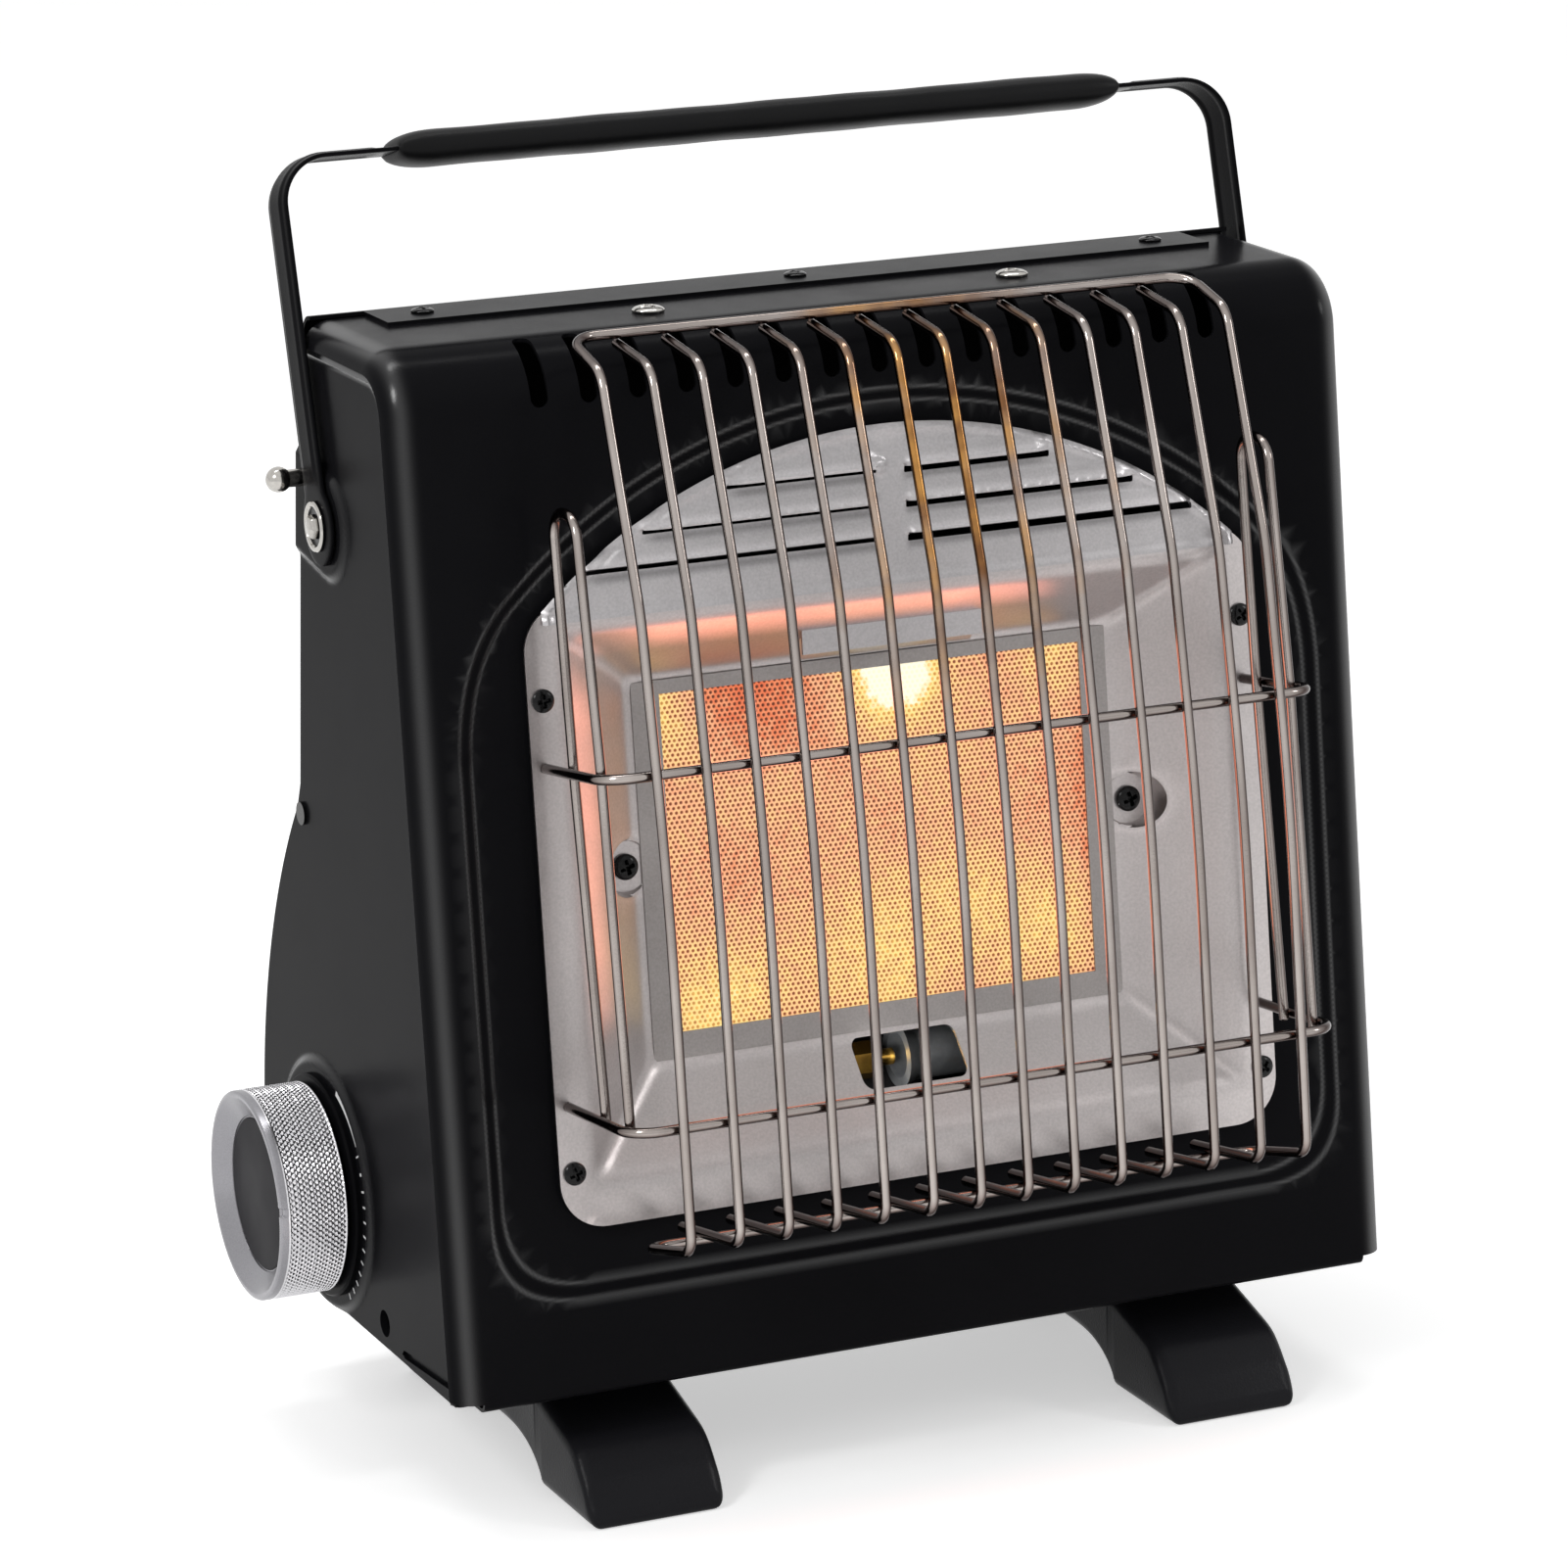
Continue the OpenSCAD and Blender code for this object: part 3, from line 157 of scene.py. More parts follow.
def nearest(points: Array, others: Array) -> Array:
    """Distance from each point to the nearest of the others."""
    return np.concatenate([
        np.min(np.hypot(part[:, 0:1] - others[:, 0], part[:, 1:2] - others[:, 1]), 1)
        for part in np.array_split(points, max(1, len(points) // CHUNK))])


def round_rect(x0: float, y0: float, x1: float, y1: float, r: float, count: int = 7) -> Array:
    """Outline of a rectangle whose corners are arcs of radius r, turning left."""
    return np.concatenate([
        arc((x1 - r, y0 + r), r, -90, 0, count), arc((x1 - r, y1 - r), r, 0, 90, count),
        arc((x0 + r, y1 - r), r, 90, 180, count), arc((x0 + r, y0 + r), r, 180, 270, count)])


@dataclass(frozen=True)
class Track:
    """A path of straight stretches joined by round bends.

    Attributes:
        corners: Ends and corners of the path.
        radii: Bend radius at each inner corner.
        bend_steps: Number of points in a bend.
        stretch: Longest straight step that is left.
    """

    corners: Array
    radii: Sequence[float]
    bend_steps: int = 12
    stretch: float = 12.0

    def points(self) -> Array:
        """The path as points.

        A bend of radius r that turns by t begins and ends r tan(t / 2) from its corner.
        Its points are centre + r (e cos a + u sin a), where e points from the centre to
        the bend's start and u along the path there.

        Returns:
            The points in order along the path.
        """
        p = np.asarray(self.corners, float)
        parts = [p[:1]]
        for i, r in enumerate(self.radii, start=1):
            u, v = unit(p[i] - p[i - 1]), unit(p[i + 1] - p[i])
            turn = math.acos(float(np.clip(u @ v, -1.0, 1.0)))
            start = p[i] - u * r * math.tan(turn / 2)
            centre = p[i] + unit(v - u) * r / math.cos(turn / 2)
            e = (start - centre) / r
            a = np.linspace(0.0, turn, self.bend_steps)[:, None]
            parts.append(centre + r * (e * np.cos(a) + u * np.sin(a)))
        parts.append(p[-1:])
        path = np.concatenate(parts)
        return np.concatenate([filled(path[:-1], path[1:], self.stretch), path[-1:]])


# ---- surfaces ----


def grid_faces(rows: int, columns: int) -> Array:
    """Quads of a grid of points whose columns close on themselves."""
    i, k = np.meshgrid(np.arange(rows - 1), np.arange(columns), indexing="ij")
    m = (k + 1) % columns
    quads = [i * columns + k, i * columns + m, (i + 1) * columns + m, (i + 1) * columns + k]
    return np.stack(quads, -1).reshape(-1, 4)


def swept(rings: Array) -> Solid:
    """A closed skin over a row of rings, with a flat face over each end.

    Args:
        rings: Points by station and by place around the ring.

    Returns:
        The skin, whose faces turn with the ring as seen from the last station.
    """
    rows, columns = rings.shape[:2]
    faces = grid_faces(rows, columns).tolist()
    first = list(range(columns - 1, -1, -1))
    last = list(range((rows - 1) * columns, rows * columns))
    return rings.reshape(-1, 3), faces + [first, last]


def tube(path: Array, radius: float, sides: int = 14,
         aim: Sequence[float] = (1, 0.7, 0.7)) -> Solid:
    """A round wire along a path, with slightly domed ends.

    A ring's point is path + radius (m cos a + n sin a), where m is square to the path and
    to aim, and n is square to both m and the path.

    Args:
        path: Points along the wire's middle.
        radius: Radius of the wire.
        sides: Number of points around it.
        aim: A direction that the path never takes.

    Returns:
        The wire's closed skin.
    """
    t = unit(np.gradient(path, axis=0))
    dome = radius * 0.3
    path = np.concatenate([path[:1] - t[:1] * dome, path, path[-1:] + t[-1:] * dome])
    t = np.concatenate([t[:1], t, t[-1:]])
    size = np.full(len(path), radius)
    size[[0, -1]] = 0.7 * radius
    m = unit(np.cross(t, unit(np.asarray(aim, float))))
    n = np.cross(t, m)
    a = 2 * np.pi * np.arange(sides) / sides
    ring = m[:, None] * np.cos(a)[None, :, None] + n[:, None] * np.sin(a)[None, :, None]
    return swept(path[:, None] + size[:, None, None] * ring)


def lathed(profile: Array, count: int, shape: Callable[[Array], Array] | None = None) -> Solid:
    """A surface of revolution about Z.

    Args:
        profile: Radius and height of each ring, from the lower pole to the upper one. An
            end that isn't on the axis is closed by a flat face.
        count: Number of points around.
        shape: Moves the points, given and returned as rings of X, Y and Z.

    Returns:
        The closed surface, whose points are (r cos a, r sin a, z) before shape.
    """
    a = 2 * np.pi * np.arange(count) / count
    r, z = profile[:, 0:1], profile[:, 1:2]
    rings = np.stack([r * np.cos(a), r * np.sin(a), z + 0 * a], -1)
    if shape is not None:
        rings = shape(rings)
    return swept(rings)


@dataclass(frozen=True)
class Place:
    """A place and direction on the heater for a part that is drawn about Z.

    Attributes:
        origin: Where the part's zero goes.
        axis: Where the part's Z points.
        side: Where the part's X points.
    """

    origin: Sequence[float]
    axis: Sequence[float]
    side: Sequence[float] = (1, 0, 0)

    def put(self, solid: Solid) -> Solid:
        """The solid turned and moved to this place."""
        ez = unit(np.asarray(self.axis, float))
        ex = np.asarray(self.side, float)
        ex = unit(ex - ez * (ex @ ez))
        basis = np.stack([ex, np.cross(ez, ex), ez])
        return solid[0] @ basis + np.asarray(self.origin, float), solid[1]


def joined(solids: Sequence[Solid]) -> Solid:
    """Several solids as one list of points and faces."""
    starts = np.cumsum([0] + [len(s[0]) for s in solids])
    faces = [[k + int(start) for k in face] for s, start in zip(solids, starts) for face in s[1]]
    return np.concatenate([s[0] for s in solids]), faces


def mirrored(solid: Solid) -> Solid:
    """The solid's mirror image in X, with its faces turned back outwards."""
    return solid[0] * np.array([-1, 1, 1]), [face[::-1] for face in solid[1]]


def inside(points: Array, loop: Array) -> Array:
    """Which points lie in a loop: those from which a ray crosses it an odd number of times."""
    x, y = points[:, 0:1], points[:, 1:2]
    a, b = loop, np.roll(loop, -1, 0)
    spans = (a[None, :, 1] > y) != (b[None, :, 1] > y)
    rise = np.where(b[:, 1] == a[:, 1], 1e-9, b[:, 1] - a[:, 1])
    cross = a[:, 0] + (y - a[:, 1]) * (b[:, 0] - a[:, 0]) / rise
    return (np.sum(spans & (x < cross), axis=1) % 2).astype(bool)


def lattice(low: Array, high: Array, spacing: float) -> Array:
    """Points of a triangular lattice that fills a box."""
    x = np.arange(low[0], high[0], spacing)
    y = np.arange(low[1], high[1], spacing * 0.866)
    gx, gy = np.meshgrid(x, y)
    gx = gx + (np.arange(len(y)) % 2)[:, None] * spacing / 2
    return np.stack([gx.ravel(), gy.ravel()], -1)


@dataclass(frozen=True)
class Blank:
    """A flat blank of sheet metal with holes, cut into triangles.

    Attributes:
        outline: Corners of the blank, turning left.
        holes: Corners of each hole.
        coarse: Spacing of the points where the sheet stays flat.
        fine: Spacing of the points where it is bent.
        bent: Tells for each point whether the sheet is bent there.
        rings: Extra points, such as those of a small round form.
    """

    outline: Array
    holes: Sequence[Array]
    coarse: float
    fine: float
    bent: Callable[[Array], Array]
    rings: Array | None = None

    def holds(self, points: Array, loops: Sequence[Array]) -> Array:
        """Which points lie inside the first loop and outside all the others."""
        return inside(points, loops[0]) & ~np.any([inside(points, hole) for hole in loops[1:]], 0)

    def cut(self) -> tuple[Array, Array]:
        """Joins the outline, the holes and a lattice of points into triangles.

        Returns:
            The points, and the triangles as rows of three indices that turn left.
        """
        loops = [filled(loop, np.roll(loop, -1, 0), self.fine * 1.3)
                 for loop in (self.outline, *self.holes)]
        rim = np.concatenate(loops)
        wide, close = (lattice(rim.min(0), rim.max(0), gap) for gap in (self.coarse, self.fine))
        grid = np.concatenate([wide[~self.bent(wide)], close[self.bent(close)]])
        grid = grid[self.holds(grid, loops)]
        if self.rings is not None:
            grid = np.concatenate([grid[nearest(grid, self.rings) > self.fine * 0.5], self.rings])
        grid = grid[nearest(grid, rim) > self.fine * 0.6]
        starts = np.cumsum([0] + [len(loop) for loop in loops])
        edges = np.concatenate([
            np.stack([np.arange(len(loop)), np.roll(np.arange(len(loop)), -1)], -1) + start
            for loop, start in zip(loops, starts)])
        flat = [Vector(p) for p in np.concatenate([rim, grid]).tolist()]
        out = delaunay_2d_cdt(flat, edges.tolist(), [], 0, 1e-5)
        points, triangles = np.array([tuple(p) for p in out[0]]), np.array(out[2])
        triangles = triangles[self.holds(points[triangles].mean(1), loops)]
        a, b, c = (points[triangles[:, k]] for k in range(3))
        (ux, uy), (vx, vy) = (b - a).T, (c - a).T
        area = ux * vy - uy * vx
        triangles, area = triangles[np.abs(area) > SLIVER], area[np.abs(area) > SLIVER]
        triangles[area < 0] = triangles[area < 0][:, ::-1]
        return points, triangles


def formed(cut: tuple[Array, Array], face: Callable[[Array], Array], thickness: float,
           flip: bool = False) -> Solid:
    """Bends a cut blank and gives it its thickness.

    The back lies thickness behind the front, along the normal that the front's triangles
    have on average at each point. A strip of quads closes every edge.

    Args:
        cut: The blank's points and triangles.
        face: Gives the place of each of the blank's points on the front.
        thickness: Thickness of the sheet.
        flip: Whether the front's triangles turn right once they are bent.

    Returns:
        The sheet as a closed solid.
    """
    points, triangles = cut
    if flip:
        triangles = triangles[:, ::-1]
    front = face(points)
    corners = front[triangles]
    normal = np.cross(corners[:, 1] - corners[:, 0], corners[:, 2] - corners[:, 0])
    total = np.zeros_like(front)
    for k in range(3):
        np.add.at(total, triangles[:, k], normal)
    size = np.linalg.norm(total, axis=1, keepdims=True)
    back = front - thickness * total / np.where(size > 0, size, 1.0)
    count = len(points)
    directed = np.concatenate([triangles[:, [0, 1]], triangles[:, [1, 2]], triangles[:, [2, 0]]])
    key = directed[:, 0] * count + directed[:, 1]
    rim = directed[~np.isin(key, directed[:, 1] * count + directed[:, 0])]
    strip = np.stack([rim[:, 1], rim[:, 0], rim[:, 0] + count, rim[:, 1] + count], -1)
    faces = triangles.tolist() + (triangles[:, ::-1] + count).tolist() + strip.tolist()
    return np.concatenate([front, back]), faces


# ---- finishes ----


class Graph:
    """Builds the nodes of a material or of the surroundings."""

    def __init__(self, owner: bpy.types.Material | bpy.types.World) -> None:
        """Empties the owner's node tree."""
        owner.use_nodes = True
        self.owner = owner
        self.tree = owner.node_tree
        self.tree.nodes.clear()

    @cached_property
    def coords(self) -> bpy.types.NodeSocket:
        """The object's own coordinates."""
        return self.node("TexCoord").outputs["Object"]

    def node(self, kind: str, settings: dict[str, object] | None = None,
             **inputs: object) -> bpy.types.Node:
        """Adds a node.

        Args:
            kind: The node's type, without its ShaderNode prefix.
            settings: Properties of the node.
            **inputs: Values or sockets for its inputs, by name with _ for a space, or by
                number as i0, i1 and so on.

        Returns:
            The new node.
        """
        made = self.tree.nodes.new("ShaderNode" + kind)
        for key, value in (settings or {}).items():
            setattr(made, key, value)
        for key, value in inputs.items():
            numbered = key[0] == "i" and key[1:].isdigit()
            socket = made.inputs[int(key[1:]) if numbered else key.replace("_", " ")]
            if isinstance(value, bpy.types.NodeSocket):
                self.tree.links.new(value, socket)
            else:
                socket.default_value = value
        return made

    def value(self, attribute: str) -> bpy.types.NodeSocket:
        """A point attribute of the mesh."""
        return self.node("Attribute", {"attribute_name": attribute}).outputs["Fac"]

    def math(self, operation: str, a: object, b: object = 0.0,
             c: object = 0.0) -> bpy.types.NodeSocket:
        """One step of arithmetic on sockets or numbers."""
        return self.node("Math", {"operation": operation}, i0=a, i1=b, i2=c).outputs[0]

    def noise(self, scale: float, detail: float = 3.0,
              stretch: Sequence[float] | None = None) -> bpy.types.NodeSocket:
        """Noise on the object's coordinates, drawn out where stretch is given."""
        vector = self.coords
        if stretch is not None:
            vector = self.node("Mapping", Vector=vector, Scale=tuple(stretch)).outputs[0]
        return self.node("TexNoise", Vector=vector, Scale=scale, Detail=detail).outputs["Fac"]

    def spread(self, value: bpy.types.NodeSocket, low: float, high: float,
               start: float = 0.3, end: float = 0.7) -> bpy.types.NodeSocket:
        """Maps a value between start and end to the range from low to high."""
        return self.node("MapRange", i0=value, i1=start, i2=end, i3=low, i4=high).outputs[0]

    def mix(self, share: object, a: object, b: object) -> bpy.types.NodeSocket:
        """Mixes two colours."""
        return self.node("Mix", {"data_type": "RGBA"}, i0=share, i6=a, i7=b).outputs[2]

    def bump(self, height: object, depth: float) -> bpy.types.NodeSocket:
        """A bumped normal for a height between 0 and 1 that stands for depth metres."""
        return self.node("Bump", Strength=1.0, Distance=depth, Height=height).outputs[0]

    def surface(self, **inputs: object) -> bpy.types.Material:
        """Closes the material with a Principled shader.

        Args:
            **inputs: Values or sockets of the shader, by name with _ for a space.

        Returns:
            The finished material.
        """
        shader = self.node("BsdfPrincipled", **inputs)
        self.node("OutputMaterial", Surface=shader.outputs[0])
        return self.owner


def tint(red: float, green: float, blue: float) -> Colour:
    """A linear colour from the values that a screen shows, from 0 to 255."""
    values = np.array([red, green, blue]) / 255.0
    linear = np.where(values <= 0.04045, values / 12.92, ((values + 0.055) / 1.055) ** 2.4)
    return (float(linear[0]), float(linear[1]), float(linear[2]), 1.0)


@dataclass(frozen=True)
class PaintFinish:
    """Baked enamel, moulded plastic or rubber: a dark skin with a fine orange peel.

    Attributes:
        name: The material's name.
        colour: Colour of the skin.
        rough: Lowest and highest roughness.
        peel: Depth of the fine texture, in metres.
        peel_scale: How often the texture repeats in a metre.
        ior: Index of refraction of the skin, which sets how much it mirrors.
        bend_gloss: What is added to it where the bend attribute is 1, as on a rubbed bend.
        cloud_scale: How often the faint lighter clouds repeat in a metre.
        rough_scale: How often the roughness changes in a metre.
    """

    name: str
    colour: Colour
    rough: Pair
    peel: float = 0.00002
    peel_scale: float = 2200.0
    ior: float = 1.14
    bend_gloss: float = 0.6
    cloud_scale: float = 14.0
    rough_scale: float = 60.0

    def make(self) -> bpy.types.Material:
        """Builds the material."""
        g = Graph(bpy.data.materials.new(self.name))
        worn = (*(min(1.0, c * 1.25 + 0.0003) for c in self.colour[:3]), 1.0)
        colour = g.mix(g.spread(g.noise(self.cloud_scale, 4.0), 0.0, 1.0), self.colour, worn)
        rough = g.spread(g.noise(self.rough_scale, 5.0), *self.rough)
        ior = g.math("MULTIPLY_ADD", g.value("bend"), self.bend_gloss, self.ior)
        peel = g.bump(g.noise(self.peel_scale, 2.0), self.peel)
        return g.surface(Base_Color=colour, Roughness=rough, IOR=ior, Normal=peel)


@dataclass(frozen=True)
class MetalFinish:
    """Bare metal with a grain and an uneven sheen, lighter or darker by the painted_light
    attribute, which paints highlights and shade on it.

    Attributes:
        name: The material's name.
        colour: Colour of the metal.
        rough: Lowest and highest roughness.
        grain: Depth of the grain, in metres.
        grain_scale: How often the grain repeats in a metre.
        stretch: Scale of the grain along X, Y and Z.
        painted_light_gain: How much lighter the colour is where the painted_light attribute is 1,
            a painted highlight; below 0 it is darker, a painted shade.
        stain_scale: How often the faint darker stains repeat in a metre.
        sheen_scale: How often the roughness changes in a metre.
    """

    name: str
    colour: Colour
    rough: Pair
    grain: float = 0.00002
    grain_scale: float = 1200.0
    stretch: Triple = (1.0, 1.0, 1.0)
    painted_light_gain: float = 0.42
    stain_scale: float = 22.0
    sheen_scale: float = 90.0

    def make(self) -> bpy.types.Material:
        """Builds the material."""
        g = Graph(bpy.data.materials.new(self.name))
        stain = (*(c * 0.8 for c in self.colour[:3]), 1.0)
        stained = g.spread(g.noise(self.stain_scale, 5.0), 0.0, 0.8, 0.45, 0.75)
        colour = g.mix(stained, self.colour, stain)
        fine = g.noise(self.grain_scale, 2.0, self.stretch)
        # Painted highlight and shade: the colour is multiplied by 1 plus the gain times the point
        # attribute.
        painted_light = g.math("MULTIPLY_ADD", g.value("painted_light"), self.painted_light_gain, 1.0)
        light = g.math("MULTIPLY", g.spread(fine, 0.9, 1.05), painted_light)
        grey = g.node("CombineColor", i0=light, i1=light, i2=light).outputs[0]
        colour = g.node("Mix", {"data_type": "RGBA", "blend_type": "MULTIPLY"}, i0=1.0, i6=colour,
                        i7=grey).outputs[2]
        rough = g.spread(g.noise(self.sheen_scale, 4.0), *self.rough)
        return g.surface(Base_Color=colour, Metallic=1.0, Roughness=rough,
                         Normal=g.bump(fine, self.grain))


@dataclass(frozen=True)
class WireFinish:
    """Bright guard wire, tinted gold and brown by heat where it passes the hot front, with a
    painted shade on the sides that face away from lit_side.

    Attributes:
        name: The material's name.
        lit_side: Direction of the side painted in the lit colours; the other sides are darkened as
            painted shade.
        middle: Middle of the tinted zone in metres.
        reach: Half width of the zone along X, Y and Z, in metres.
        steel: Two colours of the lit side outside the zone.
        gold: Two colours of the lit side inside it.
        shade_and_heat_tint: Colour of the painted shade outside the zone, and inside it, where it
            is also browned by heat.
        rough: Lowest and highest roughness.
    """

    name: str = "bright_wire"
    lit_side: Triple = (-0.45, -0.82, 0.35)
    middle: Triple = (0.008, -0.045, 0.262)
    reach: Triple = (0.036, 0.08, 0.062)
    steel: tuple[Colour, Colour] = (tint(186, 178, 173), tint(154, 145, 140))
    gold: tuple[Colour, Colour] = (tint(190, 140, 78), tint(122, 84, 54))
    shade_and_heat_tint: tuple[Colour, Colour] = (tint(66, 54, 51), tint(60, 38, 24))
    rough: Pair = (0.1, 0.2)

    def make(self) -> bpy.types.Material:
        """Builds the material: the tint fades with the distance from the zone's middle."""
        g = Graph(bpy.data.materials.new(self.name))
        near = g.node("Mapping", {"vector_type": "TEXTURE"}, Vector=g.coords,
                      Location=self.middle, Scale=self.reach).outputs[0]
        far = g.node("VectorMath", {"operation": "LENGTH"}, i0=near).outputs["Value"]
        patchy = g.math("ADD", far, g.spread(g.noise(45.0, 4.0), -0.35, 0.35))
        heat = g.spread(patchy, 1.0, 0.0, 0.35, 1.25)
        gold = g.mix(g.spread(g.noise(70.0, 3.0), 0.0, 1.0, 0.4, 0.6), *self.gold)
        steel = g.mix(g.spread(g.noise(30.0, 4.0), 0.0, 1.0), *self.steel)
        # Painted shade: sides facing away from lit_side take the dark colours, which gives the
        # wire dark edges.
        facing = g.node("VectorMath", {"operation": "DOT_PRODUCT"},
                        i0=g.node("NewGeometry").outputs["Normal"],
                        i1=self.lit_side).outputs["Value"]
        lit_share = g.spread(facing, 0.0, 1.0, 0.55, 0.98)
        colour = g.mix(lit_share, g.mix(heat, *self.shade_and_heat_tint), g.mix(heat, steel, gold))
        rough = g.spread(g.noise(150.0, 4.0), *self.rough)
        return g.surface(Base_Color=colour, Metallic=1.0, Roughness=rough,
                         Normal=g.bump(g.noise(700.0, 3.0), 0.000015))


@dataclass(frozen=True)
class GlowFinish:
    """Glowing porous ceramic, hotter in some places and darker in its pores.

    Attributes:
        name: The material's name.
        spots: Middle in metres, reach in metres and heat of each hotter or cooler place.
        edge: X in metres between which the heat falls towards the right edge.
        edge_heat: What is added to the heat at that edge.
        lit: Colours of the face from the coolest to the hottest.
        pore: Colours of the pores from the coolest to the hottest.
    """

    name: str = "glowing_ceramic"
    spots: tuple[tuple[Triple, float, float], ...] = (
        ((0.0125, -0.0155, 0.1985), 0.017, 0.75), ((0.0125, -0.0155, 0.198), 0.034, 0.3),
        ((-0.040, -0.023, 0.1225), 0.034, 0.3), ((0.004, -0.023, 0.124), 0.032, 0.34),
        ((0.045, -0.022, 0.128), 0.032, 0.3), ((0.027, -0.021, 0.142), 0.022, 0.2),
        ((-0.053, -0.016, 0.193), 0.018, 0.3), ((0.058, -0.016, 0.199), 0.022, 0.2),
        ((-0.027, -0.0155, 0.197), 0.028, -0.26), ((-0.008, -0.016, 0.19), 0.02, -0.1))
    edge: Pair = (0.0606, 0.0636)
    edge_heat: float = -0.09
    lit: tuple[tuple[float, Colour], ...] = (
        (0.0, tint(214, 84, 50)), (0.2, tint(232, 124, 82)), (0.42, tint(248, 184, 138)),
        (0.6, tint(252, 210, 140)), (0.8, tint(255, 230, 142)), (1.0, tint(255, 252, 232)))
    pore: tuple[tuple[float, Colour], ...] = (
        (0.0, tint(58, 8, 6)), (0.35, tint(84, 28, 20)), (0.6, tint(134, 64, 30)),
        (0.85, tint(238, 186, 96)), (1.0, tint(255, 248, 214)))

    def spot(self, g: Graph, middle: Triple,
             reach: float) -> bpy.types.NodeSocket:
        """A soft round spot that is 1 in its middle and 0 from reach metres on."""
        offset = g.node("VectorMath", {"operation": "DISTANCE"}, i0=g.coords,
                        i1=middle).outputs["Value"]
        return self.eased(g, offset, reach, 0.0)

    def eased(self, g: Graph, value: object, low: float, high: float) -> bpy.types.NodeSocket:
        """Maps low to 0 and high to 1 with soft ends."""
        return g.node("MapRange", {"interpolation_type": "SMOOTHSTEP"}, i0=value, i1=low, i2=high,
                      i3=0.0, i4=1.0).outputs[0]

    def make(self) -> bpy.types.Material:
        """Builds the material: the colour follows heat, and relief darkens the pores."""
        g = Graph(bpy.data.materials.new(self.name))
        heat = g.math("ADD", 0.4, g.spread(g.noise(34.0, 5.0), -0.1, 0.1))
        for middle, reach, amount in self.spots:
            heat = g.math("ADD", heat, g.math("MULTIPLY", self.spot(g, middle, reach), amount))
        heat = g.math("ADD", heat, g.spread(g.noise(500.0, 2.0), -0.1, 0.1))
        across = g.node("SeparateXYZ", i0=g.coords).outputs[0]
        heat = g.math("ADD", heat, g.spread(across, 0.0, self.edge_heat, *self.edge))
        glow = g.mix(self.eased(g, g.value("relief"), 0.36, 0.8),
                     self.ramp(g, heat, self.pore), self.ramp(g, heat, self.lit))
        return g.surface(Base_Color=tint(120, 92, 74), Roughness=0.9, Specular_IOR_Level=0.2,
                         Emission_Color=glow, Emission_Strength=1.0,
                         Normal=g.bump(g.noise(1500.0, 2.0), 0.00004))

    def ramp(self, g: Graph, value: object,
             stops: Sequence[tuple[float, Colour]]) -> bpy.types.NodeSocket:
        """A colour ramp through the stops."""
        made = g.node("ValToRGB", Fac=value)
        elements = made.color_ramp.elements
        elements[0].position, elements[0].color = stops[0]
        elements[1].position, elements[1].color = stops[-1]
        for place, shade in stops[1:-1]:
            elements.new(place).color = shade
        return made.outputs[0]


@dataclass
class Palette:
    """Every finish, made once."""

    made: dict[str, bpy.types.Material] = field(default_factory=dict)

    def add(self, finish: PaintFinish | MetalFinish | WireFinish | GlowFinish) -> None:
        """Makes a finish and keeps it by its name."""
        self.made[finish.name] = finish.make()

    def __getitem__(self, name: str) -> bpy.types.Material:
        """The material of that name."""
        return self.made[name]


